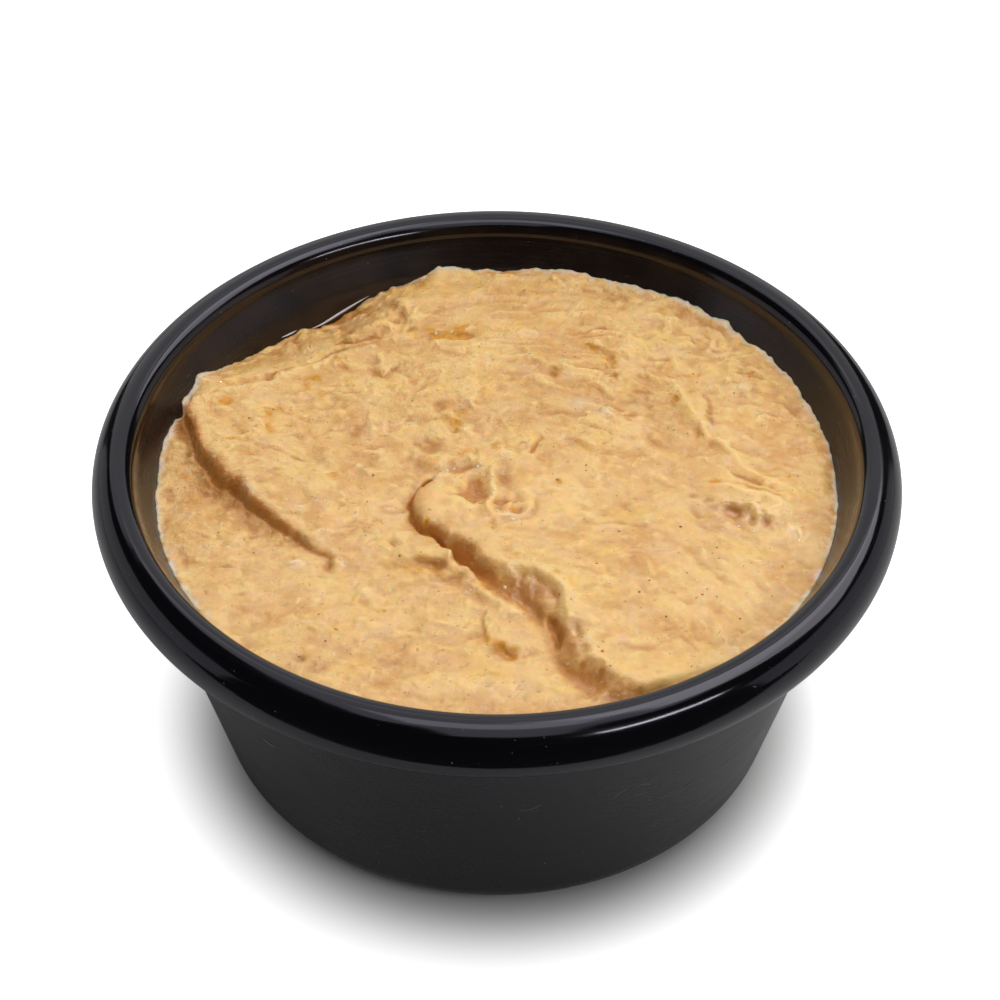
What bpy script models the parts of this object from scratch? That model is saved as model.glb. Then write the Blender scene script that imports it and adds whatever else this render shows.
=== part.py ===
"""Hummus in a black ramekin: a turned dish with a rolled rim, and the dip that fills it.

Metres, +Z up. The origin is the centre of the foot, on the surface that the dish stands on.
"""

import math

import bpy
import numpy as np

MM = 0.001

# Ramekin, in millimetres
RIM_RADIUS = 41.3        # over the rolled rim
DISH_HEIGHT = 38.1
BEAD_HALF_WIDTH = 2.75   # the rolled rim is two half ellipses, the inner one ending at the crease
BEAD_HALF_HEIGHT = 3.3
DRAFT = math.radians(13.8)
WALL_TOP_RADIUS = 37.1   # outer wall where it runs out of the rolled rim
WALL_TOP_Z = 32.0
HEEL_RADIUS = 5.0        # outer rounding between wall and foot
FOOT_RING_WIDTH = 2.6
FOOT_RECESS = 0.6
FLOOR_Z = 3.0            # inner floor
INNER_HEEL_RADIUS = 4.5
CREASE_RADIUS = 36.75    # inner edge where the rolled rim ends
CREASE_Z = 36.4
THROAT_RADIUS = 34.95    # foot of the flared band under the crease
THROAT_Z = 32.95
TURN_STEPS = 72

# Hummus, in millimetres
FILL_LEVEL = 33.2        # where the dip meets the wall
GAP = 0.3                # kept between dip and dish
TOP_CELLS = 38           # cells along each side of the top's grid
LEAST_SIDE = 0.6         # height of the side's first row of faces
PATH_STEPS = 30          # points read from each fold's curve

# Folds left by the spoon: a line along each bank, with the high ground on its left.
# drop is the height of the bank, foot how far to the left of the line it starts, face its width,
# reach how far the high ground runs back, and fade the share of the line it fades over at each
# end. The far left band lies low, so its drop is below 0.
FOLDS = {
    "left fold": {
        "line": [(-31.7, 8.6), (-31.2, 6.4), (-30.2, 3.4), (-28.2, -0.4), (-25.3, -3.5),
                 (-22, -7.1), (-18.6, -9.9), (-15.2, -12), (-11.4, -13.6)],
        "drop": 1.95, "foot": -0.9, "face": 1.5, "reach": 17, "fade": (0, 0.3),
    },
    "middle fold": {
        "line": [(-6.2, 0.2), (-7.9, -2.4), (-8.4, -5), (-8, -7.4), (-5.8, -9.9), (-3.2, -12.9),
                 (-0.8, -15.8), (2.2, -18.2), (4.2, -20.6), (5.9, -24), (6.6, -26.5),
                 (8.2, -28.7), (11, -30.8), (18, -34)],
        "drop": 1.5, "foot": 0, "face": 3, "reach": 12, "fade": (0.1, 0),
    },
    "right hollow": {
        "line": [(19, -2.4), (21.5, -3), (24.3, -4), (26.6, -4.9), (28.6, -6.2), (30.2, -7.4)],
        "drop": 0.9, "foot": -1.9, "face": 1.9, "reach": 6, "fade": (0.4, 0.3),
    },
    "far left band": {
        "line": [(-32, 10.4), (-30.8, 11.4), (-27.6, 13.5), (-24, 16.6), (-20.5, 18.3),
                 (-16.4, 21.3), (-14, 21.8), (-11.4, 22.6)],
        "drop": -0.9, "foot": -0.3, "face": 0.8, "reach": 6, "fade": (0, 0.3),
    },
}
# Soft rises and dips: x, y, radius, height
SWELLS = [
    (-4, 3, 17, 0.35),
    (17, -14, 13, 0.25),
    (10, 20, 12, 0.2),
    (-21, -17, 11, -0.35),
    (21, 10, 4, 0.25),
    (24.5, -6, 2, -0.5),
    (3.5, -17.5, 1.9, -0.5),
    (-7.4, 4.9, 1.3, -0.45),
    (-5.6, 23.1, 1.8, -0.45),
]
# Where the dip meets the ramekin: angle in degrees, height over the level, and how far in from
# the edge the surface is drawn to it.
EDGE = [
    (0, -0.4, 2.2), (20, 0, 1.8), (40, 0.1, 1.6), (44.5, 0.7, 1.4), (55, 0.5, 2), (74, 0.3, 2),
    (84, 0, 2.4), (90, -0.25, 2.6), (101, 0.3, 2.4), (107, -0.6, 4), (114, -1.55, 6),
    (119, -2.5, 7), (123, -3.1, 8), (129, -2.2, 7.5), (140, -2.1, 6), (150, -0.3, 3),
    (154, 0.7, 2), (161, 0.3, 2), (164, -0.4, 2), (180, -0.2, 1.8), (200, -0.1, 1.6),
    (330, 0, 1.6), (350, -0.3, 2), (360, -0.4, 2.2),
]


def smooth_step(values, low, high):
    """Rises from 0 at low to 1 at high along 3t^2 - 2t^3."""
    t = np.clip((values - low) / (high - low), 0, 1)
    return t * t * (3 - 2 * t)


def curve_through(points, steps):
    """Evenly numbered points on the Catmull-Rom curve through the given ones."""
    knots = np.array(points, float)
    knots = np.vstack([2 * knots[0] - knots[1], knots, 2 * knots[-1] - knots[-2]])
    place = np.linspace(0, len(points) - 1 - 1e-9, steps)
    span = place.astype(int)
    t = (place - span)[:, None]
    before, start, end, after = (knots[span + k] for k in range(4))
    return 0.5 * (
        2 * start
        + (end - before) * t
        + (2 * before - 5 * start + 4 * end - after) * t**2
        + (3 * start - before - 3 * end + after) * t**3
    )


def across_and_along(x, y, line):
    """Signed distance to the line, positive on its left, and the share of its length passed."""
    starts, ends = line[:-1], line[1:]
    runs = ends - starts
    offsets = np.stack([x, y], -1)[..., None, :] - starts
    share = np.clip((offsets * runs).sum(-1) / (runs**2).sum(-1), 0, 1)
    misses = offsets - share[..., None] * runs
    nearest = (misses**2).sum(-1).argmin(-1)[..., None]
    miss = np.take_along_axis(misses, nearest[..., None], -2)[..., 0, :]
    run = runs[nearest[..., 0]]
    side = np.sign(run[..., 0] * miss[..., 1] - run[..., 1] * miss[..., 0])
    along = (nearest + np.take_along_axis(share, nearest, -1))[..., 0] / len(runs)
    return side * np.hypot(miss[..., 0], miss[..., 1]), along


def fold_height(x, y, fold):
    """A bank, rounded at the top, that sinks back to nothing over reach and fades at the ends."""
    across, along = across_and_along(x, y, curve_through(fold["line"], PATH_STEPS))
    fade_in, fade_out = fold["fade"]
    ends = smooth_step(along, -0.01, max(fade_in, 0.01))
    ends = ends * smooth_step(1 - along, -0.01, max(fade_out, 0.01))
    t = np.clip((across - fold["foot"]) / fold["face"], 0, 1)
    back = 1 - smooth_step(across, 0.6, fold["reach"])
    return fold["drop"] * (1 - (1 - t) ** 2.6) * back * ends


def dip_height(x, y):
    """Height of the dip's surface over the table, in millimetres."""
    height = np.full(np.shape(x), FILL_LEVEL, float)
    for fold in FOLDS.values():
        height += fold_height(x, y, fold)
    for centre_x, centre_y, radius, rise in SWELLS:
        height += rise * np.exp(-((x - centre_x) ** 2 + (y - centre_y) ** 2) / radius**2)
    angles, rises, reaches = np.array(EDGE, float).T
    bearing = np.degrees(np.arctan2(y, x)) % 360
    edge = FILL_LEVEL + np.interp(bearing, angles, rises)
    inward = fill_radius(FILL_LEVEL) - np.hypot(x, y)
    return edge + (height - edge) * smooth_step(inward, 0, np.interp(bearing, angles, reaches))


def arc(centre_r, centre_z, half_width, half_height, first, last, steps):
    """Points on an ellipse in the section, from one angle to another, in degrees."""
    angles = np.radians(np.linspace(first, last, steps + 1))
    return [
        (centre_r + half_width * math.cos(a), centre_z + half_height * math.sin(a)) for a in angles
    ]


def wall_line_radius(radius, level, z):
    """Radius at height z of the drafted wall that passes through (radius, level)."""
    return radius - (level - z) * math.tan(DRAFT)


def rounded_heel(radius, level, floor, heel):
    """Centre of the rounding that touches both the floor and the drafted wall."""
    centre_z = floor + heel
    touch_z = centre_z - heel * math.sin(DRAFT)
    touch_radius = wall_line_radius(radius, level, touch_z)
    return touch_radius - heel * math.cos(DRAFT), centre_z


def inner_profile(gap):
    """Radius and height up the inside, from the floor's centre to the crease, drawn in by gap."""
    heel_r, heel_z = rounded_heel(THROAT_RADIUS, THROAT_Z, FLOOR_Z, INNER_HEEL_RADIUS)
    turn = INNER_HEEL_RADIUS - gap
    heel = arc(heel_r, heel_z, turn, turn, -90, -math.degrees(DRAFT), 4)
    side = [(THROAT_RADIUS - gap, THROAT_Z), (CREASE_RADIUS - gap, CREASE_Z)]
    return [(0, FLOOR_Z + gap)] + heel + side


def bead_profile():
    """The rolled rim, from the crease over the top to where it turns under the wall."""
    centre_r = RIM_RADIUS - BEAD_HALF_WIDTH
    centre_z = DISH_HEIGHT - BEAD_HALF_HEIGHT
    crease_turn = math.asin((CREASE_Z - centre_z) / BEAD_HALF_HEIGHT)
    inner_width = (centre_r - CREASE_RADIUS) / math.cos(crease_turn)
    inner_angle = 180 - math.degrees(crease_turn)
    under_angle = -math.degrees(math.acos((WALL_TOP_RADIUS - centre_r) / BEAD_HALF_WIDTH))
    section = (centre_r, centre_z, BEAD_HALF_WIDTH, BEAD_HALF_HEIGHT)
    inner_side = arc(centre_r, centre_z, inner_width, BEAD_HALF_HEIGHT, inner_angle, 90, 3)
    outer_side = arc(*section, 90, 0, 6)
    under_side = arc(*section, 0, under_angle, 7)
    return inner_side[1:] + outer_side[1:] + under_side[1:]


def outer_profile():
    """Down the outside, round the heel, and in under the foot ring to the axis."""
    heel_r, heel_z = rounded_heel(WALL_TOP_RADIUS, WALL_TOP_Z, 0, HEEL_RADIUS)
    heel = arc(heel_r, heel_z, HEEL_RADIUS, HEEL_RADIUS, -math.degrees(DRAFT), -90, 6)
    ring_inner = heel_r - FOOT_RING_WIDTH
    return heel + [(ring_inner, 0), (ring_inner - FOOT_RECESS, FOOT_RECESS), (0, FOOT_RECESS)]


def new_material(name, colour, roughness, metallic=0.0):
    material = bpy.data.materials.new(name)
    material.use_nodes = True
    shader = material.node_tree.nodes["Principled BSDF"]
    shader.inputs["Base Color"].default_value = (*colour, 1)
    shader.inputs["Roughness"].default_value = roughness
    shader.inputs["Metallic"].default_value = metallic
    return material


def add_object(name, mesh, material, crease_angle):
    mesh.shade_smooth()
    mesh.set_sharp_from_angle(angle=math.radians(crease_angle))
    mesh.materials.append(material)
    piece = bpy.data.objects.new(name, mesh)
    bpy.context.scene.collection.objects.link(piece)
    return piece


def make_bowl():
    """The whole section in one line, turned about Z by a Screw modifier."""
    section = inner_profile(0) + bead_profile() + outer_profile()
    points = [(radius * MM, 0, height * MM) for radius, height in section]
    edges = [(k, k + 1) for k in range(len(points) - 1)]
    mesh = bpy.data.meshes.new("bowl")
    mesh.from_pydata(points, edges, [])
    bowl = add_object("bowl", mesh, new_material("ramekin black", (0.012, 0.012, 0.013), 0.16), 40)
    turn = bowl.modifiers.new("turn", "SCREW")
    turn.steps = TURN_STEPS
    turn.render_steps = TURN_STEPS
    turn.use_merge_vertices = True
    turn.merge_threshold = 0.00001
    return bowl


def disc_grid(cells):
    """A square grid laid on the unit disc: each ring of the square becomes a circle."""
    axis = np.linspace(-1, 1, cells + 1)
    u, v = np.meshgrid(axis, axis, indexing="ij")
    wide = np.abs(u) >= np.abs(v)
    radius = np.where(wide, u, v)
    ratio = np.where(wide, v, u) / np.where(radius == 0, 1, radius)
    angle = ratio * math.pi / 4
    x = np.where(wide, radius * np.cos(angle), radius * np.sin(angle))
    y = np.where(wide, radius * np.sin(angle), radius * np.cos(angle))
    return x, y


def fill_radius(z):
    """Radius of the dip's side at height z."""
    radii, heights = np.array(inner_profile(GAP)[1:]).T
    return np.interp(z, heights, radii)


def edge_radius(angle):
    """Radius at which the dip's surface reaches its side, found by repeated substitution."""
    radius = np.full(np.shape(angle), fill_radius(FILL_LEVEL))
    for _ in range(6):
        radius = fill_radius(dip_height(radius * np.cos(angle), radius * np.sin(angle)))
    return radius


def rim_loop(cells):
    """Indices of the grid's outer ring, in order round the disc."""
    index = np.arange((cells + 1) ** 2).reshape(cells + 1, cells + 1)
    return np.concatenate([index[:-1, 0], index[-1, :-1], index[:0:-1, -1], index[0, :0:-1]])


def make_hummus():
    """The top is a grid on the disc; the side drops to the floor from the grid's outer ring."""
    unit_x, unit_y = disc_grid(TOP_CELLS)
    reach = edge_radius(np.arctan2(unit_y, unit_x))
    x, y = unit_x * reach, unit_y * reach
    top = np.stack([x, y, dip_height(x, y)], -1).reshape(-1, 3)
    ring = rim_loop(TOP_CELLS)
    direction = top[ring, :2] / np.hypot(top[ring, 0], top[ring, 1])[:, None]
    throat = np.minimum(THROAT_Z, top[ring, 2] - LEAST_SIDE)
    below = [np.full(len(ring), height) for _, height in inner_profile(GAP)[-3:0:-1]]
    rows = [np.column_stack([direction * fill_radius(z)[:, None], z]) for z in [throat] + below]
    points = np.vstack([top] + rows) * MM

    index = np.arange(len(top)).reshape(TOP_CELLS + 1, TOP_CELLS + 1)
    corners = [index[:-1, :-1], index[1:, :-1], index[1:, 1:], index[:-1, 1:]]
    faces = np.stack(corners, -1).reshape(-1, 4).tolist()
    upper = ring
    for level in range(len(rows)):
        lower = len(top) + level * len(ring) + np.arange(len(ring))
        band = [upper, lower, np.roll(lower, -1), np.roll(upper, -1)]
        faces += np.stack(band, -1).tolist()
        upper = lower
    faces.append(upper[::-1].tolist())
    mesh = bpy.data.meshes.new("hummus")
    mesh.from_pydata(points.tolist(), [], faces)
    return add_object("hummus", mesh, new_material("hummus", (0.80, 0.54, 0.27), 0.45), 50)


def main():
    for old in list(bpy.data.objects):
        bpy.data.objects.remove(old, do_unlink=True)
    make_bowl()
    make_hummus()


main()
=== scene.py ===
import math

import bpy
import numpy as np
from mathutils import Matrix, Vector
from mathutils.bvhtree import BVHTree


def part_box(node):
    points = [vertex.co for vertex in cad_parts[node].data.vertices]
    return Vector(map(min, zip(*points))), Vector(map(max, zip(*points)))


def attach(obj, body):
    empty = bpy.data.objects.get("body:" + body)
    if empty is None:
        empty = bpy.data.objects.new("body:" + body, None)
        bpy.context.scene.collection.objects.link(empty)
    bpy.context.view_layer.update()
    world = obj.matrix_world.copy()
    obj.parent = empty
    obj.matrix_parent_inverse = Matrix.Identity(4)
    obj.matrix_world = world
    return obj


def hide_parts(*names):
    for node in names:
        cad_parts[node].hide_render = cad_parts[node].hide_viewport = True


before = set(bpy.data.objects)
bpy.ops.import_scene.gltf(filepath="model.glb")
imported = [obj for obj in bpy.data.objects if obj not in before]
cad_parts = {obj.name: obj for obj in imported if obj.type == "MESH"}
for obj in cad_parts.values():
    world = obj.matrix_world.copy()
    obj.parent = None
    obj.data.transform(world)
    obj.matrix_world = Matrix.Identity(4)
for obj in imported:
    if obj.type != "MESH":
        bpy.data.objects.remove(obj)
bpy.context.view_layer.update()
print("ramekin of hummus: frame loaded")

mm = 0.001
dishLow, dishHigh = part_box("bowl")
rimRadius = dishHigh.x / mm
dishHeight = dishHigh.z / mm

# Camera: a 100 mm lens, the picture's upright axis turned by a fraction of a degree.
camera = {
    "lens": 100.0,
    "sensor": 36.0,
    "place": (0.0, -212.24, 224.67),
    "aim": (0.3, -8.68, 38.1),
    "roll": 0.2,
}


def addCamera(settings):
    data = bpy.data.cameras.new("studioCamera")
    data.lens = settings["lens"]
    data.sensor_width = settings["sensor"]
    data.clip_start = 0.01
    holder = bpy.data.objects.new("studioCamera", data)
    bpy.context.scene.collection.objects.link(holder)
    place = Vector(settings["place"]) * mm
    aim = Vector(settings["aim"]) * mm
    look = (aim - place).to_track_quat("-Z", "Y").to_euler()
    look.rotate_axis("Z", math.radians(settings["roll"]))
    holder.location = place
    holder.rotation_euler = look
    bpy.context.scene.camera = holder


addCamera(camera)
print("camera placed")


def newMaterial(name):
    material = bpy.data.materials.new(name)
    material.use_nodes = True
    material.node_tree.nodes.clear()
    return material, material.node_tree


def feed(tree, socket, value):
    # The value is another node's socket, which is linked, or a plain value, which is set.
    if hasattr(value, "is_output"):
        tree.links.new(value, socket)
    else:
        socket.default_value = value


def addNode(tree, kind, **values):
    # Values that name a property are set on the node, all others go to the input of that name.
    node = tree.nodes.new("ShaderNode" + kind)
    for key, value in values.items():
        if hasattr(node, key):
            setattr(node, key, value)
        else:
            feed(tree, node.inputs[key.replace("_", " ")], value)
    return node


def addShader(tree, **values):
    # The finished surface, led to the material's output.
    shader = addNode(tree, "BsdfPrincipled", **values)
    addNode(tree, "OutputMaterial", Surface=shader.outputs["BSDF"])


def placeNode(tree):
    return addNode(tree, "TexCoord").outputs["Object"]


def noiseNode(tree, place, scale, detail, roughness=0.5):
    noise = addNode(tree, "TexNoise", Vector=place, Scale=scale, Detail=detail, Roughness=roughness)
    return noise.outputs["Fac"]


def maskNode(tree, name):
    return addNode(tree, "Attribute", attribute_name=name).outputs["Fac"]


def rangeNode(tree, value, fromMin, fromMax, toMin, toMax):
    ends = {"From_Min": fromMin, "From_Max": fromMax, "To_Min": toMin, "To_Max": toMax}
    return addNode(tree, "MapRange", Value=value, **ends).outputs["Result"]


def mathNode(tree, operation, *values, kind="Math"):
    node = addNode(tree, kind, operation=operation)
    for socket, value in zip(node.inputs, values):
        feed(tree, socket, value)
    return node.outputs[0]


def lengthNode(tree, vector):
    return addNode(tree, "VectorMath", operation="LENGTH", Vector=vector).outputs["Value"]


def mixColour(tree, share, first, second):
    mix = addNode(tree, "Mix", data_type="RGBA")
    for socket, value in ((mix.inputs[0], share), (mix.inputs[6], first), (mix.inputs[7], second)):
        feed(tree, socket, value)
    return mix.outputs[2]


def bumpNode(tree, height, distance, strength=1.0, **values):
    bump = addNode(tree, "Bump", Height=height, Distance=distance, Strength=strength, **values)
    return bump.outputs["Normal"]


# Lights: a large soft panel overhead with a brighter core, a bright one behind to the right,
# pale screens behind and at both sides, a small spark lamp and a warm one in front to the left
# for the dip alone, and a long thin lamp in front to the right. Sizes and places in
# millimetres; glow is what a panel's face shows.
coolWhite = (0.97, 0.97, 1.0)
plainWhite = (1.0, 1.0, 1.0)
lights = {
    "overheadPanel": {
        "place": (60, 215, 640), "aim": (60, 215, 0), "size": (560, 770), "glow": 1.0,
        "colour": coolWhite,
    },
    "overheadCore": {
        "place": (0, 20, 430), "aim": (0, 20, 0), "size": (170, 170), "glow": 1.7,
        "colour": coolWhite,
    },
    "frontPanel": {
        "place": (30, -330, 640), "aim": (30, -330, 0), "size": (300, 320), "glow": 1.0,
        "colour": coolWhite,
    },
    "brightPanel": {
        "place": (260, 190, 520), "aim": (0, 0, 30), "size": (400, 400), "glow": 2.75,
        "colour": (1.0, 0.985, 0.965),
    },
    "backScreen": {
        "place": (-60, 760, 380), "aim": (0, 0, 60), "size": (900, 720), "glow": 0.8,
        "colour": plainWhite,
    },
    "leftScreen": {
        "place": (-720, 160, 180), "aim": (0, 0, 60), "size": (1000, 460), "glow": 0.5,
        "colour": coolWhite,
    },
    "rightScreen": {
        "place": (740, 120, 180), "aim": (0, 0, 60), "size": (1000, 460), "glow": 0.5,
        "colour": coolWhite,
    },
    "sparkLamp": {
        "place": (-60, 190, 430), "aim": (0, 0, 35), "size": (34, 34), "glow": 60.0,
        "colour": plainWhite, "dipOnly": True,
    },
    "warmFill": {
        "place": (-330, -260, 420), "aim": (0, 0, 33), "size": (200, 200), "glow": 1.6,
        "colour": (1.0, 0.74, 0.47), "dipOnly": True,
    },
    "stripLamp": {
        "place": (325, -345, 376), "aim": (0, 0, 35), "size": (280, 44), "glow": 17.0,
        "colour": (1.0, 0.99, 0.97),
    },
}

# Two lamps light only the dip: the small spark lamp makes it glint where it is wet, and the
# warm one softens the shade on the faces of its folds.
dipOnly = bpy.data.collections.new("dipOnly")


def addPanel(name, settings):
    # A flat panel's power is its glow times pi times its area.
    data = bpy.data.lights.new(name, "AREA")
    data.shape = "RECTANGLE"
    data.size, data.size_y = (side * mm for side in settings["size"])
    data.energy = settings["glow"] * math.pi * data.size * data.size_y
    data.color = settings["colour"]
    panel = bpy.data.objects.new(name, data)
    bpy.context.scene.collection.objects.link(panel)
    place = Vector(settings["place"]) * mm
    aim = Vector(settings["aim"]) * mm
    panel.location = place
    panel.rotation_euler = (aim - place).to_track_quat("-Z", "Y").to_euler()
    panel.visible_camera = False
    if "dipOnly" in settings:
        panel.light_linking.receiver_collection = dipOnly


for lightName, lightSettings in lights.items():
    addPanel(lightName, lightSettings)


def setWorld(strength):
    world = bpy.data.worlds.new("studioRoom")
    world.use_nodes = True
    ground = world.node_tree.nodes["Background"]
    ground.inputs["Color"].default_value = (1, 1, 1, 1)
    ground.inputs["Strength"].default_value = strength
    bpy.context.scene.world = world


setWorld(0.03)
bpy.context.scene.view_settings.view_transform = "Standard"
print("lights placed")


def smoothStep(values, low, high):
    # Rises from 0 at low to 1 at high along 3t^2 - 2t^3.
    t = np.clip((values - low) / (high - low), 0, 1)
    return t * t * (3 - 2 * t)


def curveThrough(points, steps):
    # Catmull-Rom curve through the points, read at even steps of its parameter.
    knots = np.array(points, float)
    knots = np.vstack([2 * knots[0] - knots[1], knots, 2 * knots[-1] - knots[-2]])
    place = np.linspace(0, len(points) - 1 - 1e-9, steps)
    span = place.astype(int)
    t = (place - span)[:, None]
    before, start, end, after = (knots[span + k] for k in range(4))
    return 0.5 * (
        2 * start
        + (end - before) * t
        + (2 * before - 5 * start + 4 * end - after) * t**2
        + (3 * start - before - 3 * end + after) * t**3
    )


def acrossAndAlong(x, y, line):
    # Signed distance to the line, positive on its left, the share of its length passed,
    # and the unit direction from its right to its left.
    starts, ends = line[:-1], line[1:]
    runs = ends - starts
    offsets = np.stack([x, y], -1)[..., None, :] - starts
    share = np.clip((offsets * runs).sum(-1) / (runs**2).sum(-1), 0, 1)
    misses = offsets - share[..., None] * runs
    nearest = (misses**2).sum(-1).argmin(-1)[..., None]
    miss = np.take_along_axis(misses, nearest[..., None], -2)[..., 0, :]
    run = runs[nearest[..., 0]]
    side = np.sign(run[..., 0] * miss[..., 1] - run[..., 1] * miss[..., 0])
    along = (nearest + np.take_along_axis(share, nearest, -1))[..., 0] / len(runs)
    left = np.stack([-run[..., 1], run[..., 0]], -1) / np.hypot(run[..., 0], run[..., 1])[..., None]
    return side * np.hypot(miss[..., 0], miss[..., 1]), along, left


def latticeNoise(x, y, size, seed):
    # Random heights from -1 to 1 on a square lattice of that size, joined by smooth steps.
    table = np.random.default_rng(seed).uniform(-1, 1, (128, 128))
    u, v = x / size, y / size
    column, row = np.floor(u).astype(int), np.floor(v).astype(int)
    s, t = u - column, v - row
    s, t = s * s * s * (s * (s * 6 - 15) + 10), t * t * t * (t * (t * 6 - 15) + 10)
    low = table[column % 128, row % 128] * (1 - s) + table[(column + 1) % 128, row % 128] * s
    high = (
        table[column % 128, (row + 1) % 128] * (1 - s)
        + table[(column + 1) % 128, (row + 1) % 128] * s
    )
    return low * (1 - t) + high * t


def layeredNoise(x, y, size, layers, seed):
    # Each layer is turned, half the size and half the height of the one before.
    total = np.zeros(np.shape(x))
    for layer in range(layers):
        turn = 0.6 + 1.1 * layer
        u = x * math.cos(turn) - y * math.sin(turn)
        v = x * math.sin(turn) + y * math.cos(turn)
        total += latticeNoise(u, v, size / 2**layer, seed + layer) / 2**layer
    return total


ramekin = {
    "beadHalfWidth": 2.75,
    "beadHalfHeight": 3.3,
    "shoulderPower": 2.6,
    "draft": 13.8,              # degrees from upright
    "wallTop": (37.1, 32.0),    # radius and height where the wall meets the rolled rim
    "heelRadius": 5.0,
    "footRingWidth": 2.6,
    "footRecess": 0.6,
    "floorHeight": 3.0,
    "innerHeelRadius": 4.5,
    "crease": (36.75, 36.4),
    "throat": (34.95, 32.95),
    "cornerRound": 0.22,        # moulded radius of every sharp corner
    "longestSide": 1.2,         # along the section
    "turnSteps": 288,
}


def arcPoints(centre, halves, first, last, steps):
    # Points on an ellipse in the section, between two angles in degrees.
    angles = np.radians(np.linspace(first, last, steps + 1))
    return np.column_stack(
        [centre[0] + halves[0] * np.cos(angles), centre[1] + halves[1] * np.sin(angles)]
    )


def heelCentre(wallPoint, floorHeight, radius, draft):
    # Centre of the rounding that touches the floor and the wall through wallPoint.
    centreHeight = floorHeight + radius
    touchHeight = centreHeight - radius * math.sin(draft)
    touchRadius = wallPoint[0] - (wallPoint[1] - touchHeight) * math.tan(draft)
    return touchRadius - radius * math.cos(draft), centreHeight


def innerSection(settings):
    draft = math.radians(settings["draft"])
    radius = settings["innerHeelRadius"]
    floorHeight = settings["floorHeight"]
    centre = heelCentre(settings["throat"], floorHeight, radius, draft)
    heel = arcPoints(centre, (radius, radius), -90, -settings["draft"], 8)
    return np.vstack([[(0, floorHeight)], heel, [settings["throat"]], [settings["crease"]]])


def beadSection(settings):
    # The rolled rim: outside the crest a half ellipse, inside it the fuller curve
    # (x / a)^n + (z / b)^n = 1 down to the crease.
    wide, tall = settings["beadHalfWidth"], settings["beadHalfHeight"]
    power = settings["shoulderPower"]
    centre = (rimRadius - wide, dishHeight - tall)
    creaseShare = (settings["crease"][1] - centre[1]) / tall
    innerWide = (centre[0] - settings["crease"][0]) / (1 - creaseShare**power) ** (1 / power)
    turn = np.linspace(math.asin(creaseShare ** (power / 2)), math.pi / 2, 29)[1:]
    inner = np.column_stack(
        [
            centre[0] - innerWide * np.abs(np.cos(turn)) ** (2 / power),
            centre[1] + tall * np.sin(turn) ** (2 / power),
        ]
    )
    underAngle = -math.degrees(math.acos((settings["wallTop"][0] - centre[0]) / wide))
    outer = arcPoints(centre, (wide, tall), 90, underAngle, 52)
    return np.vstack([inner, outer[1:]])


def outerSection(settings):
    draft = math.radians(settings["draft"])
    radius = settings["heelRadius"]
    centre = heelCentre(settings["wallTop"], 0, radius, draft)
    heel = arcPoints(centre, (radius, radius), -settings["draft"], -90, 14)
    ringInner = centre[0] - settings["footRingWidth"]
    recess = settings["footRecess"]
    return np.vstack([heel, [(ringInner, 0), (ringInner - recess, recess), (0, recess)]])


def roundCorners(section, radius, sharpest=18, steps=4):
    # Each corner turning by more than sharpest degrees becomes a quadratic curve between
    # points set back along its two sides; the long sides are then cut into short ones.
    rounded = [section[0]]
    for before, corner, after in zip(section[:-2], section[1:-1], section[2:]):
        into, out = corner - before, after - corner
        intoLength, outLength = np.hypot(*into), np.hypot(*out)
        bend = math.degrees(math.acos(np.clip(into @ out / intoLength / outLength, -1, 1)))
        if bend < sharpest:
            rounded.append(corner)
            continue
        setBack = min(radius, 0.45 * intoLength, 0.45 * outLength)
        start = corner - into / intoLength * setBack
        end = corner + out / outLength * setBack
        for t in np.linspace(0, 1, steps + 1):
            rounded.append((1 - t) ** 2 * start + 2 * t * (1 - t) * corner + t**2 * end)
    rounded.append(section[-1])
    return np.array(rounded)


def cutLongSides(section, longest):
    pieces = [section[:1]]
    for start, end in zip(section[:-1], section[1:]):
        count = max(1, math.ceil(np.hypot(*(end - start)) / longest))
        shares = np.linspace(0, 1, count + 1)[1:, None]
        pieces.append(start + (end - start) * shares)
    return np.vstack(pieces)


def meshFrom(name, points, quads, triangles):
    # Points in millimetres; faces given as index arrays, all smooth.
    mesh = bpy.data.meshes.new(name)
    corners = np.concatenate([quads.ravel(), triangles.ravel()]).astype(np.int32)
    counts = np.concatenate([np.full(len(quads), 4), np.full(len(triangles), 3)])
    starts = np.concatenate([[0], np.cumsum(counts)[:-1]]).astype(np.int32)
    mesh.vertices.add(len(points))
    mesh.vertices.foreach_set("co", (points * mm).astype(np.float32).ravel())
    mesh.loops.add(len(corners))
    mesh.loops.foreach_set("vertex_index", corners)
    mesh.polygons.add(len(counts))
    mesh.polygons.foreach_set("loop_start", starts)
    mesh.update(calc_edges=True)
    mesh.validate()
    mesh.shade_smooth()
    piece = bpy.data.objects.new(name, mesh)
    bpy.context.scene.collection.objects.link(piece)
    return piece


def tubeFaces(rings, around):
    # Faces of a closed tube whose points are numbered ring by ring, with its two poles last.
    index = np.arange(rings * around).reshape(rings, around)
    onward = np.roll(index, -1, axis=1)
    quads = np.stack([index[:-1], index[1:], onward[1:], onward[:-1]], -1).reshape(-1, 4)
    pole = np.full(around, rings * around)
    first = np.stack([pole, index[0], onward[0]], -1)
    last = np.stack([pole + 1, onward[-1], index[-1]], -1)
    return quads, np.vstack([first, last])


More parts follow.
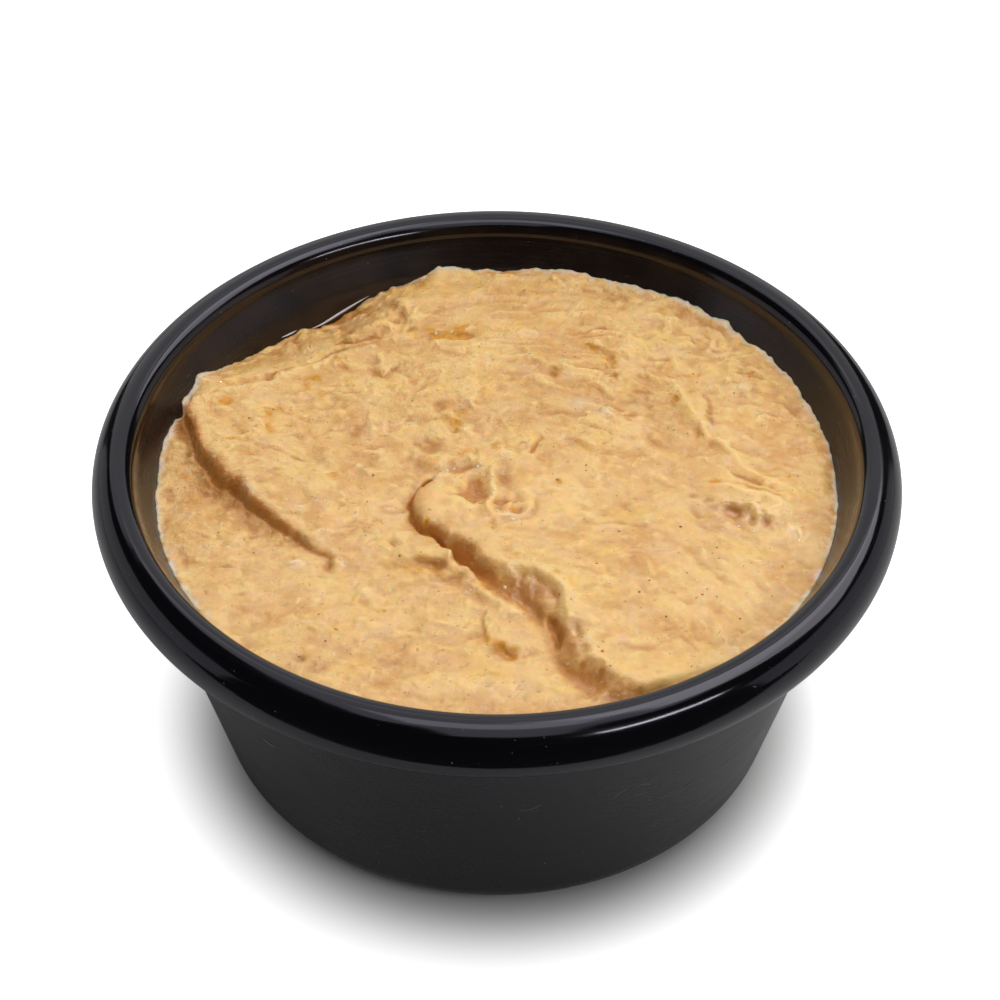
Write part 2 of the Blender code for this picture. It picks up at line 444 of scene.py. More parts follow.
def turnSection(name, section, steps):
    # The section, from one point on the axis to another, turned about Z:
    # x = r cos a, y = r sin a, z = height.
    ring = section[1:-1]
    angles = np.arange(steps) * 2 * math.pi / steps
    radius, angle = np.meshgrid(ring[:, 0], angles, indexing="ij")
    height = np.repeat(ring[:, 1], steps).reshape(radius.shape)
    body = np.stack([radius * np.cos(angle), radius * np.sin(angle), height], -1).reshape(-1, 3)
    poles = [(0, 0, section[0, 1]), (0, 0, section[-1, 1])]
    return meshFrom(name, np.vstack([body, poles]), *tubeFaces(len(ring), steps))


def makeRamekin(settings):
    section = np.vstack([innerSection(settings), beadSection(settings), outerSection(settings)])
    section = roundCorners(section, settings["cornerRound"])
    section = cutLongSides(section, settings["longestSide"])
    return turnSection("ramekin", section, settings["turnSteps"])


ramekinGloss = {
    "rim": (0.0016, 0.0014, 0.0020, 1),
    "wall": (0.0060, 0.0058, 0.0060, 1),        # the drafted wall outside, a little duller
    "inside": (0.0085, 0.0052, 0.0036, 1),      # the wall above the dip, browned by smears and in part by a painted reflection of the dip
    "smear": (0.022, 0.0125, 0.0072, 1),
    "dust": (0.16, 0.15, 0.15, 1),
    "sheen": (0.88, 0.86, 1.0, 1),              # tint of the reflections
    "polish": (0.08, 0.17),                     # roughness of the rim, from best to worst rubbed
    "wear": 0.16,                               # added roughness on the walls
    "streak": 0.09,                             # added roughness along the marks
    "ripple": 0.3,                              # heights of the bumps, in millimetres
    "scratch": 0.02,
}


def ramekinFinish(settings):
    # Black melamine: glossy on the rolled rim with fine marks running round it, duller on the
    # wall, browned inside by smears and in part by a painted reflection of the dip, dusted with
    # specks.
    material, tree = newMaterial("glossyBlackMelamine")
    place = placeNode(tree)
    apart = addNode(tree, "SeparateXYZ", Vector=place).outputs
    flat = addNode(tree, "CombineXYZ", X=apart["X"], Y=apart["Y"])
    radius = lengthNode(tree, flat.outputs["Vector"])
    # Radius and height, drifting slowly along the rim, make marks that run round it.
    turned = addNode(tree, "CombineXYZ", X=radius, Y=apart["Z"]).outputs["Vector"]
    drift = mathNode(tree, "MULTIPLY_ADD", place, (0.03, 0.03, 0.03), turned, kind="VectorMath")
    marks = noiseNode(tree, drift, 3600, 3)
    creaseRadius, creaseHeight = (side * mm for side in ramekin["crease"])
    walls = rangeNode(tree, radius, creaseRadius, creaseRadius - 0.25 * mm, 0, 1)
    above = rangeNode(tree, apart["Z"], 2 * mm, 3 * mm, 0, 1)
    # Less the draft, the inner wall lies within the crease's own radius, the outer wall beyond.
    slope = math.tan(math.radians(ramekin["draft"]))
    upright = mathNode(tree, "MULTIPLY_ADD", apart["Z"], -slope, radius)
    edge = creaseRadius - slope * creaseHeight
    inside = rangeNode(tree, upright, edge + 0.3 * mm, edge + 0.05 * mm, 0, 1)
    inside = mathNode(tree, "MULTIPLY", inside, above)
    smears = rangeNode(tree, noiseNode(tree, place, 150, 5), 0.42, 0.7, 0, 1)
    # Inside: smear mottling over a brown that is in part a painted reflection of the dip.
    inner = mixColour(tree, smears, settings["inside"], settings["smear"])
    colour = mixColour(tree, walls, settings["rim"], settings["wall"])
    colour = mixColour(tree, inside, colour, inner)
    dust = rangeNode(tree, noiseNode(tree, place, 2600, 1), 0.77, 0.80, 0, 0.5)
    colour = mixColour(tree, dust, colour, settings["dust"])
    polish = rangeNode(tree, noiseNode(tree, place, 70, 5), 0.35, 0.75, *settings["polish"])
    rubbed = rangeNode(tree, walls, 0, 1, 0, settings["wear"])
    streaks = rangeNode(tree, marks, 0.5, 0.75, 0, settings["streak"])
    roughness = mathNode(tree, "ADD", mathNode(tree, "ADD", polish, rubbed), streaks)
    ripple = bumpNode(tree, noiseNode(tree, place, 160, 2), settings["ripple"] * mm, 0.1)
    scored = bumpNode(tree, marks, settings["scratch"] * mm, 0.12, Normal=ripple)
    sheen = {"IOR": 1.5, "Specular_Tint": settings["sheen"]}
    addShader(tree, Base_Color=colour, Roughness=roughness, Normal=scored, **sheen)
    return material


ramekinPiece = makeRamekin(ramekin)
ramekinPiece.data.materials.append(ramekinFinish(ramekinGloss))
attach(ramekinPiece, "root")
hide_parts("bowl")
print("ramekin turned")

# The dip, in millimetres. Every line is a short list of points on plan. A fold is a bank with
# its high ground on the left of the line: hollow banks steepen up to a crisp lip on the line,
# rounded banks rise from the line in a shoulder. Face is the width of the bank, reach the way
# over which it sinks back behind, fade the share of the line over which each end dies away.
# Foot is the hollow worn along the low side, offset how far the bank lies to the low side of
# the line, lean how far the lip hangs out at each end of the line, the shade share how much
# painted shade, a darker tan, lies on the torn face, torn half the width of that face, apron the
# width of the gentle slope below a rounded bank, which takes a third of the drop.
# Creases are finer: rise lifts the left side, cut sinks a groove along the line, and a cut
# below 0 raises a ridge.
middleLine = [
    (-6.2, 0.2), (-7.9, -2.4), (-8.4, -5), (-8.0, -7.4), (-5.8, -9.9), (-3.2, -12.9), (-0.8, -15.8),
    (2.2, -18.2), (4.2, -20.6), (5.9, -24), (6.6, -26.5), (8.2, -28.7), (11, -30.8), (18, -34)
]
hummus = {
    "level": 33.2,
    "cells": 304,
    "seed": 7,
    "pressIn": 0.04,        # how far the dip presses into the wall, so that no gap shows
    "wander": 0.28,         # how far the lines stray, as a spoon leaves them
    "unevenEdge": 0.17,     # along the line where the dip meets the wall
    "tornRelief": 0.2,      # added on torn faces and ragged ground
    "sideRows": (0.05, 0.3, 0.75, 0.92, 1.0),   # shares of the way from the edge to the floor
    # What stands proud: passes of softening, and the height above soft ground that counts as 1
    "stands": [(20, 0.5), (120, 1.5)],
    "masks": {"oil": 1.35, "pale": 0.55, "fringe": 0.85},   # strengths in the finish
    # Forms of the paste: height and size, with the width of the thin ones; drift is sideways,
    # and pits are as wide as crumbs
    "forms": {
        "drift": (0.7, 3.5), "swells": (0.2, 6.5), "lumps": (0.09, 2.1), "granules": (0.048, 0.8),
        "crumbs": (0.12, 1.3), "pits": 0.06, "crests": (0.1, 3.4, 0.14),
        "wrinkles": (0.12, 2.4, 0.035),
    },
    "folds": {
        "leftFold": {
            "line": [(-31.7, 8.6), (-31.2, 6.4), (-30.2, 3.4), (-28.2, -0.4), (-25.3, -3.5),
                     (-22, -7.1), (-18.6, -9.9), (-15.2, -12.0), (-11.4, -13.6)],
            "bank": "rounded", "drop": 2.1, "face": 0.85, "reach": 17, "fade": (0.0, 0.6),
            "offset": 0.45, "foot": 0.55, "lean": (0.6, 0.3), "paintedShade": 1.8, "torn": 0.8,
            "apron": 2.6,
        },
        "middleFold": {
            "line": middleLine, "bank": "rounded", "drop": 1.5, "face": 3.0, "reach": 12,
            "fade": (0.1, 0.0), "offset": 0, "foot": 0.35, "lean": (0.8, -0.3), "paintedShade": 0.8,
            "torn": 1.4, "apron": 1.2,
        },
        "rightHollow": {
            "line": [(19.0, -2.4), (21.5, -3.0), (24.3, -4.0), (26.6, -4.9), (28.6, -6.2),
                     (30.2, -7.4)],
            "bank": "hollow", "drop": 0.6, "face": 2.2, "reach": 6, "fade": (0.4, 0.3),
            "offset": 0, "foot": 0.1, "lean": (0.1, 0.2), "paintedShade": 0.12,
        },
    },
    # Creases: rise, cut, width, reach, share of painted shade in the groove, fade and the line
    "creases": {
        "noseCrack": (0, 1.0, 0.34, 4, 0.8, (0.12, 0.3), middleLine[:7]),
        "foldGap": (0, 0.9, 0.7, 4, 1.1, (0.35, 0.3), [
            (-7.5, -7.6), (-5.5, -9.6), (-3.1, -12.4), (-1.0, -14.9), (0.7, -16.5)]),
        "lowSlit": (0, 0.9, 0.34, 4, 0.9, (0.4, 0.3), [
            (4.6, -20.3), (5.5, -22.2), (6.0, -24), (6.1, -25.6)]),
        "leftRidge": (0, -0.5, 0.7, 4, 0, (0.3, 0.4), [
            (-7.4, -8.6), (-5.9, -10.9), (-3.7, -13.6), (-2.3, -15.6), (-0.6, -17.8), (1.4, -19.4),
            (3.4, -21.8), (5.0, -25)]),
        "underRidge": (0.75, 0.15, 0.5, 4, 0.9, (0.35, 0.35), [
            (-9.9, -13.3), (-8.4, -13.0), (-7.1, -13.0), (-5.8, -13.5), (-4.6, -14.1), (-3.5, -13.8)]),
        "crumbledEdge": (0.35, -0.2, 0.4, 4, 0, (0.3, 0.3), [
            (-6.2, -14.4), (-5.2, -14.6), (-4.2, -14.7), (-3.2, -14.5), (-2.4, -15.6)]),
        "lowPocket": (0.5, 0.1, 0.55, 4, 0, (0.3, 0.3), [
            (-2.2, -24.4), (-0.9, -24.7), (0.4, -24.3), (1.6, -25.2), (2.2, -26.4)]),
        "pocketRim": (0.7, 0.1, 0.5, 3, 0, (0.3, 0.3), [
            (1.2, -15.2), (3.0, -15.4), (4.8, -16.8), (6.2, -18.6), (6.4, -20.2), (5.6, -21.4)]),
        "centreCrevice": (-0.12, 0.34, 0.2, 4, 0.2, (0.4, 0.5), [
            (4.8, 6.6), (4.2, 5.3), (3.7, 4.0), (2.9, 3.4)]),
        "centreCrease": (0.22, 0.12, 0.35, 4, 0, (0.3, 0.4), [
            (7.4, 7.0), (8.2, 5.6), (9.0, 4.6), (10.4, 4.0), (13, 3.6)]),
        "centreStep": (0.4, 0.1, 0.5, 5, 0, (0.2, 0.4), [
            (-6.4, 0.0), (-5.3, 1.0), (-4.5, 1.8), (-3, 1.9), (-1.6, 2.0), (0, 1.4)]),
        "centreRidge": (0, -0.5, 0.42, 4, 0, (0.3, 0.15), [
            (-0.6, 2.8), (-0.4, -0.3), (-0.5, -3.1), (-0.7, -5.5)]),
        "tongueEdge": (0.55, 0.2, 0.4, 3, 0, (0.3, 0.3), [
            (-0.4, -6.6), (0.8, -6.9), (2.2, -6.9), (3.4, -6.2), (3.8, -4.2), (3.7, -1.4)]),
        "farSwirl": (0, 0.2, 0.24, 4, 0, (0.3, 0.3), [
            (7.8, 22.4), (9.4, 23.4), (11.6, 24.2), (13.4, 23.6), (14.6, 22.2)]),
        "swirlBack": (0, 0.18, 0.24, 4, 0, (0.3, 0.3), [
            (7.9, 22.0), (9.6, 22.6), (11.4, 22.9), (13, 22.6), (13.9, 22.0)]),
        "innerSwirl": (0.3, 0.12, 0.4, 2.2, 0, (0.2, 0.5), [
            (8.8, 21.4), (10, 20.9), (11.2, 20.3), (12.4, 19), (12.8, 17.2), (12.3, 15.2),
            (11.4, 13.4), (10.3, 12.2)]),
        "longStreak": (0.12, -0.32, 0.6, 2.5, 0, (0.2, 0.2), [
            (17.6, 17), (18.9, 14.0), (19.9, 11), (21.2, 8), (22.6, 5.6), (24.2, 3.8), (26.0, 0.8),
            (29.4, -2.2), (32.6, -5.2)]),
        "shortStreak": (-0.2, 0.25, 0.3, 1.6, 0, (0.3, 0.3), [
            (22.0, 14.4), (22.2, 11.8), (22.1, 9.6), (22.7, 7.2)]),
        "hairStreak": (0, 0.2, 0.22, 4, 0, (0.3, 0.2), [
            (23.2, 2.6), (24.4, 0.6), (26.6, -1.0), (29.2, -2.8), (31.8, -4.8)]),
        "hollowStreak": (0, -0.35, 0.5, 4, 0, (0.3, 0.2), [
            (20.6, -0.8), (22.8, -1.8), (25.4, -2.6), (28, -3.8), (30.4, -5.8)]),
        "lowerStreak": (0, 0.16, 0.25, 4, 0, (0.3, 0.3), [
            (22.4, 0.2), (25.2, -1.2), (28.2, -2.9), (31.2, -5.6)]),
        "bankCrack": (-0.9, 0.65, 0.3, 6, 0.5, (0.0, 0.3), [
            (-32.0, 10.4), (-30.8, 11.4), (-29.6, 12.7), (-28.8, 13.2), (-27.6, 13.5),
            (-26.4, 14.2), (-25.2, 14.6), (-24.4, 15.4), (-24.0, 16.6), (-22.8, 17.6),
            (-20.5, 18.3), (-19.0, 19.1), (-17.8, 20.5), (-16.4, 21.3), (-14, 21.8), (-11.4, 22.6)]),
        "upperCrack": (-0.3, 0.45, 0.26, 2, 0.4, (0.3, 0.3), [
            (-18.6, 22.2), (-17.2, 22.9), (-15.8, 22.5), (-13.6, 23.0), (-12, 22.4)]),
        "innerCrack": (-0.2, 0.25, 0.26, 2, 0, (0.3, 0.3), [
            (-9.9, 18.6), (-11.2, 17.6), (-12.2, 16.4), (-13.0, 17.2), (-14.2, 17.4)]),
        "farScarp": (0.55, 0.08, 0.6, 3, 0, (0.3, 0.4), [
            (-12.2, 30.2), (-11.6, 28.4), (-10.4, 26.6), (-9.2, 24.9), (-7.6, 24.2)]),
        "leftWrinkle": (0.2, 0.22, 0.26, 4, 0, (0.3, 0.3), [
            (-25, 3.2), (-23, 2.5), (-21, 1.5), (-19, 0.9)]),
        "lipRipple": (0.1, 0.14, 0.3, 4, 0, (0.3, 0.2), [
            (-29.0, 7.6), (-27.4, 6.6), (-26.2, 5.0), (-25, 3.2)]),
        "edgeWrinkle": (-0.15, 0.16, 0.28, 1.5, 0, (0.3, 0.3), [
            (24.6, 17.4), (27, 16.6), (28.6, 15.4), (30, 13.6)]),
        "lowWrinkle": (-0.15, 0.16, 0.28, 1.5, 0, (0.3, 0.3), [
            (28, 12.6), (29.8, 12.2), (31, 10.8), (32, 9)]),
        "southWrinkle": (0.12, 0.12, 0.3, 2, 0, (0.3, 0.3), [
            (6, -6.6), (9, -6.9), (12, -6.5), (15.5, -7.2), (18, -6.8)]),
    },
    # Rises and dips: x, y, length, width, turn in degrees, height, and how flat-topped it is
    "lumps": [
        (-4, 3, 17, 17, 0, 0.35), (17, -14, 13, 13, 0, 0.25), (10, 20, 12, 12, 0, 0.2),
        (-21, -17, 11, 11, 0, -0.35), (21, 10, 3, 5, 0, 0.25), (14.2, 19.5, 1.3, 4.0, 8, 0.3),
        # right hollow
        (24.5, -5.8, 1.1, 1.8, 8, -0.24), (27.8, -6.8, 1.7, 0.8, -22, -0.12),
        (26.4, -6.0, 0.5, 1.3, 10, 0.4), (25.6, -4.6, 0.6, 0.5, 0, 0.3),
        (21.8, -6.0, 2.4, 2.1, 0, -0.3), (21.9, -5.7, 0.5, 0.45, 0, 0.4),
        (23.0, -4.3, 0.45, 0.5, 0, 0.35), (20.8, -6.6, 0.5, 0.4, 0, 0.3),
        (23.2, -7.2, 0.6, 0.4, 20, 0.25), (29.6, -7.7, 0.5, 0.7, 10, 0.35),
        (30.5, -8.1, 0.45, 0.7, 0, 0.35), (19.9, -3.0, 0.5, 0.5, 0, -0.2),
        # centre
        (-2.5, -2.0, 1.3, 1.8, 0, -0.6, 1.6), (-3.1, -1.4, 0.5, 0.8, 0, 0.35),
        (-0.7, -5.5, 0.7, 1.0, 0, 0.5, 1.5), (0.8, -0.6, 0.6, 1.9, 10, -0.3),
        (1.7, -4.3, 1.5, 2.3, 0, -0.45, 1.6), (1.2, -3.2, 0.7, 0.9, 0, 0.35),
        (2.6, -2.8, 0.5, 0.7, 0, 0.3), (1.2, -5.0, 0.4, 0.5, 0, 0.3),
        (2.3, -5.8, 0.8, 0.6, 0, -0.4), (-0.4, -8.2, 0.5, 1.2, 10, -0.2),
        (0.6, 3.4, 1.6, 0.8, 0, 0.35), (-1.4, 4.2, 0.8, 0.6, 20, 0.3),
        (0.2, 0.9, 0.5, 0.7, 0, 0.3), (-3.9, -0.6, 0.8, 0.7, 0, 0.25), (2.0, 1.0, 0.6, 1.2, 0, 0.3),
        (-7.3, 4.6, 1.6, 1.1, -20, -0.42, 1.7), (-15, 7.0, 0.7, 1.6, -8, -0.3),
        (-13, 7.1, 0.45, 1.0, 5, 0.35), (-12, 7.5, 0.4, 0.9, -5, 0.3),
        (-6, 10.9, 0.7, 1.7, 15, -0.25), (-3.7, 10.2, 0.5, 0.7, 0, -0.2),
        (-4.3, 6.9, 0.5, 0.4, 0, -0.2), (-17.2, -0.9, 1.0, 0.6, 10, 0.35),
        # along the middle fold
        (3.5, -17.5, 2.4, 1.3, -40, -0.5), (7.6, -23.6, 0.5, 0.9, 10, -0.35),
        (8.3, -26.1, 0.6, 0.8, 0, -0.3), (7.0, -22.0, 0.5, 0.5, 0, 0.3),
        (8.8, -24.2, 0.8, 0.6, -40, 0.35), (10.2, -27.6, 1.2, 0.6, -40, 0.3),
        (-7.1, -7.9, 0.35, 0.35, 0, -0.4, 2), (-0.9, -13.6, 0.8, 0.6, -40, 0.3),
        (1.0, -14.6, 0.6, 0.5, 0, 0.35), (-3.4, -10.4, 0.9, 0.5, -45, 0.25),
        (-2.4, -18.6, 3.4, 1.8, -40, 0.3), (10, -22, 3, 1.6, -40, 0.25),
        (0.4, -24.9, 1.4, 0.6, -25, -0.18), (1.3, -25.9, 0.6, 0.7, 0, -0.1),
        # left bank and basin
        (-25.3, -3.4, 0.7, 0.6, 0, 0.6), (-26.6, -2.6, 0.4, 0.6, 20, -0.3),
        (-20.3, -12.6, 0.9, 0.5, 0, 0.4), (-16.0, -12.6, 0.5, 0.7, 0, 0.5),
        (-16.7, -12.8, 0.4, 0.7, 0, -0.35), (-13.2, -16.8, 0.7, 0.5, 30, 0.4),
        (-32.0, 10.6, 0.7, 0.5, 20, 0.3), (-28.5, 9.9, 0.5, 0.4, 0, -0.3),
        (-22.8, 16.4, 0.9, 0.5, 10, 0.4), (-27.4, 13.9, 0.6, 0.45, 20, 0.35),
        (-20.2, 25.2, 1.3, 0.8, 40, 0.5), (-5.6, 23.1, 3.0, 0.7, 0, -0.45, 2),
        (-3.7, 23.5, 1.0, 0.6, 10, -0.25), (-10.5, -26.3, 1.2, 0.8, 0, -0.15),
        (-18.9, -25.6, 0.8, 0.5, 10, -0.3), (-17.4, -26.9, 1.6, 0.9, -20, -0.25),
        (-33.4, -2.8, 0.7, 1.3, 0, -0.2), (-31.4, -12, 0.7, 1.5, 20, -0.25),
        # far side
        (7.0, 17.6, 1.0, 0.8, 0, 0.4), (6.0, 16.4, 0.5, 0.8, 15, -0.2),
        (6.2, 26.2, 1.3, 0.8, 0, 0.3), (2.6, 23.6, 1.2, 0.8, 0, 0.3),
        (11.4, 10.2, 0.8, 0.7, 0, 0.35), (17.4, 18.8, 1.3, 0.7, 0, -0.15),
        (19.1, 18.4, 0.3, 1.4, 5, 0.35), (18.9, 12.6, 0.4, 1.3, 12, -0.2),
        (21.3, 6.6, 0.5, 1.0, 25, -0.2), (26.0, 14.8, 0.5, 0.6, 0, 0.3),
        (1.5, 18.4, 0.8, 0.3, 0, -0.2), (-2.4, 30.5, 1.4, 1.0, 20, 0.3),
        (22.4, -1.0, 0.7, 0.6, 0, -0.3),
    ],
    # Finish spots: x, y, length, width, turn, share. Orange oil, wet gloss, pale paste, and tan,
    # which is painted shade in dents, hollows, on sloping banks and by the wall
    "oil": [
        (-3.8, 24.0, 1.5, 0.85, 8, 1.3), (-7.6, 23.7, 1.1, 0.75, -15, 1.2),
        (-5.4, 23.0, 1.3, 0.6, -5, 1.0), (-28.5, 9.9, 0.8, 0.6, 10, 1.6),
        (0.2, 4.2, 1.4, 0.5, 10, 0.8), (-4.3, 8.1, 0.7, 0.6, 0, 1.2),
        (-3.4, 3.2, 1.2, 0.5, 30, 0.6), (-7.6, -13.6, 1.5, 0.55, -10, 1.1),
        (-23.9, 8.4, 0.35, 0.8, -10, 0.9), (-23.8, 6.2, 0.4, 1.2, 8, 0.8),
        (-23.1, 9.6, 0.3, 0.5, -35, 0.9), (-27.2, 3.7, 1.1, 0.35, 5, 0.9),
        (-25.2, 1.2, 0.55, 0.3, -25, 0.8), (-19.6, 15.8, 0.8, 0.7, 0, 1.0),
        (-20.3, 14.4, 0.3, 1.0, 5, 0.7), (-18.7, 12.8, 0.35, 0.9, 15, 0.7),
        (-17, 19.3, 0.8, 0.6, 0, 0.8), (-18.4, 17.6, 0.5, 0.7, 0, 0.5),
        (-4.3, 6.9, 0.5, 0.5, 0, 0.9), (-3.6, 10.2, 0.5, 0.6, 0, 0.7),
        (-17.3, -0.9, 1.3, 0.6, 0, 0.9), (-12, -0.9, 0.8, 0.4, 30, 0.5),
        (-32, 0, 0.5, 0.35, 0, 0.8), (-31.0, -4.4, 0.6, 0.5, 0, 0.6),
        (5.9, 0.3, 0.25, 1.3, 22, 1.0), (6.4, -1.0, 0.3, 0.6, 20, 0.9),
        (28.5, 1.3, 0.9, 0.35, 15, 0.9), (30, 0.0, 0.3, 0.7, 0, 1.3),
        (30.1, 1.9, 0.3, 0.4, 0, 0.7), (22.4, -0.9, 0.7, 0.5, 0, 0.9),
        (20.7, 13.3, 0.6, 0.6, 0, 0.7), (21.6, 16.2, 0.7, 0.4, 50, 0.6),
        (20.6, 15.6, 0.3, 0.9, 0, 0.5), (17.4, 16.4, 0.9, 0.4, 0, 0.6),
        (16.2, 24.0, 0.3, 0.5, 0, 0.5), (12.2, 3.9, 0.6, 0.35, 0, 0.9),
        (0.6, -24.5, 1.2, 0.5, -20, 1.2), (1.4, -25.6, 0.6, 0.6, 0, 1.0),
        (1.8, -28.9, 1.0, 0.4, -5, 0.6), (0.2, -28.2, 0.5, 0.3, 0, 0.6),
        (-1.0, -23.6, 0.6, 0.6, 0, 0.6), (-8.2, -14.0, 1.4, 0.5, -10, 1.0),
        (-7.1, -7.9, 0.3, 0.25, 0, 1.4), (10.5, 20.6, 1.0, 0.35, -35, 0.9),
        (9.7, 21.1, 0.4, 0.25, 0, 0.8), (12.5, 18.2, 0.35, 1.0, -5, 0.7),
        (6.1, 16.6, 0.45, 0.7, 15, 0.8), (5.6, 25.0, 0.6, 0.5, 0, 0.5),
        (18.9, 12.6, 0.4, 0.9, 12, 0.8), (21.2, 6.4, 0.5, 0.8, 25, 0.6),
        (1.9, -5.6, 0.9, 0.45, -10, 1.1), (2.2, 0.4, 0.5, 0.9, 10, 0.5),
        (29.2, -7.2, 0.25, 0.25, 0, 1.2), (21.6, -6.2, 0.4, 0.4, 0, 0.7),
        (5.8, -15.9, 0.4, 0.4, 0, 0.7), (15.1, -29.2, 0.6, 0.35, 20, 0.5),
        (-0.4, -7.8, 0.3, 0.9, 5, 0.7), (-9.4, -8.2, 0.9, 0.5, 0, 0.3),
    ],
    "wet": [
        (25.4, -6.0, 4.4, 2.4, -20, 1.0), (-5.3, 0.9, 1.3, 0.8, 40, 1.0),
        (1.6, -6.3, 1.8, 0.7, 0, 1.0), (3.4, -17.6, 2.6, 1.8, -35, 0.9),
        (-3.4, 22.9, 1.2, 0.5, 8, 1.0), (-7.8, 22.8, 0.7, 0.4, 0, 1.0),
        (11.3, 10.2, 0.9, 0.8, 0, 1.0), (26, 14.6, 0.7, 0.7, 0, 1.0),
        (-22.8, 16.6, 0.9, 0.6, 0, 1.0), (-2.6, -17.2, 0.8, 0.8, 0, 1.0),
        (-20.2, -12.7, 1.0, 0.6, 0, 0.9), (-25.3, -3.9, 0.9, 0.8, 0, 0.8),
        (-16.0, -12.7, 0.8, 0.8, 0, 0.8), (-13.6, 5.4, 0.6, 0.7, 0, 0.9),
        (-18.0, -0.4, 0.6, 0.6, 0, 0.9), (1.6, -14.6, 0.5, 0.6, 0, 0.9),
        (30.4, -8.2, 0.9, 0.9, 0, 1.0), (7.6, -23.4, 1.2, 2.0, 0, 0.6),
        (-0.3, -1.8, 1.6, 2.4, 0, 0.6), (-9.6, -26.6, 0.7, 0.5, 0, 0.7),
    ],
    "pale": [
        (8.5, 11.8, 1.1, 0.9, 0, 0.8), (-25.3, -3.6, 0.6, 0.5, 0, 0.6),
        (-20.2, -12.6, 0.9, 0.4, 0, 0.7), (-22.8, 16.6, 0.7, 0.4, 0, 0.5),
        (-13.3, -16.9, 0.8, 0.5, 0, 0.5), (-30.8, -14, 0.6, 0.8, 0, 0.4),
        (11.4, 10.2, 0.7, 0.5, 0, 0.4), (26.0, 14.7, 0.5, 0.6, 0, 0.4),
        (22.7, 15.0, 0.5, 0.5, 0, 0.5), (-18.9, -26.2, 0.7, 0.5, 0, 0.4),
        (13.7, -14.2, 0.5, 0.8, 0, 0.35), (22.6, -18.3, 0.5, 0.4, 0, 0.4),
    ],
    # Tan spots are painted shade: dents, hollows, the basin below the left fold, sloping banks and the
    # right edge by the wall.
    "tan": [
        (-24.6, 20.6, 6.5, 2.0, 38, 0.6), (-15.2, 26.4, 4.8, 2.4, 42, 0.6),
        (-11.4, 28.4, 0.8, 1.6, 20, 0.6), (3.4, -17.3, 2.5, 1.5, -40, 0.7),
        (7.8, -24.2, 1.0, 2.0, 10, 0.3), (9.6, -28.6, 1.8, 1.0, -35, 0.45),
        (24.6, -5.5, 1.2, 1.8, 5, 0.35), (27.8, -6.6, 1.6, 0.8, -20, 0.2),
        (21.8, -6.2, 2.4, 2.2, 0, 0.35), (-2.5, -2.0, 1.2, 1.8, 0, 0.7), (2.3, -5.8, 0.8, 0.7, 0, 0.6),
        (-15, 7.0, 0.7, 1.7, -8, 0.7), (-7.4, 4.6, 1.7, 1.1, -20, 0.8), (-24, -9, 7, 3.5, -45, 0.16),
        (-6, 10.9, 0.7, 1.8, 15, 0.5), (-2.4, -10.2, 2.8, 1.6, -45, 0.4),
        (0.9, -0.4, 0.8, 1.6, 5, 0.6), (2.6, 27.6, 1.6, 1.0, 0, 0.4),
        (10.6, 30.4, 4.0, 0.8, -8, 0.4), (17, 11.6, 2.2, 2.6, 0, 0.35),
        (18.4, 6.8, 1.6, 1.4, 0, 0.35), (-10.5, -26.3, 1.2, 0.8, 0, 0.5),
        (32.6, -2, 1.8, 10, 0, 0.4), (29.6, 16.8, 1.6, 8, 30, 0.3),
        (-31.4, -12, 0.7, 1.6, 20, 0.4), (-33.6, -2.6, 0.6, 1.4, 0, 0.5),
        (19.6, -3.0, 0.8, 0.8, 0, 0.6), (-28.6, -17.2, 1.2, 2.4, 30, 0.3),
    ],
    # Ragged ground: x, y, length, width, turn in degrees
    "ragged": [
        (-25.0, 20.4, 7, 2.6, 38), (-15.2, 26.0, 5.5, 3, 42), (3.6, -17.5, 3, 1.6, -40),
        (24.6, -5.8, 3.4, 1.5, -18),
    ],
    # Where the dip meets the wall: angle, height against the level, how far in it reaches
    "edge": [
        (0, -0.4, 2.2), (9, -0.3, 2.2), (20, 0, 1.8), (28, 0, 1.6), (31.5, 0.2, 1.6),
        (39.5, 0, 1.6), (42, 0.2, 1.4), (44.5, 0.8, 1.2), (48, 0.4, 1.6), (55, 0.5, 2),
        (65, 0.3, 2), (74, 0.3, 2), (84, 0, 2.4), (90, -0.25, 2.6), (96, 0.1, 2.4),
        (101.4, 0.35, 2.4), (103.7, -0.3, 3), (107, -0.6, 4), (110, -0.9, 5), (114, -1.55, 6),
        (119, -2.5, 7), (123, -3.1, 8), (126, -2.9, 8), (129, -2.2, 7.5), (136, -2.2, 7),
        (140, -2.1, 6), (144.4, -1.3, 5), (150, -0.3, 3), (154.3, 0.8, 1.8), (158, 0.5, 1.4),
        (161, 0.3, 1.3), (162.8, -0.7, 1.2), (165, 0, 1.4), (172, -0.1, 1.6), (180, -0.2, 1.8),
        (200, -0.1, 1.6), (230, 0, 1.6), (290, 0, 1.6), (330, 0, 1.6), (350, -0.3, 2),
        (360, -0.4, 2.2),
    ],
}


def bankRise(across, bank, face):
    # 0 to 1 across the bank. Hollow: t^2.6 up to the lip at 0. Rounded: 1 - (1 - t)^2.6 from 0.
    if bank == "hollow":
        return np.clip((across + face) / face, 0, 1) ** 2.6
    return 1 - (1 - np.clip(across / face, 0, 1)) ** 2.6


def endFade(along, fade):
    # 0 at each end of a line, rising smoothly to 1 over that share of it.
    start = smoothStep(along, 0, fade[0]) if fade[0] else 1
    end = smoothStep(1 - along, 0, fade[1]) if fade[1] else 1
    return start * end


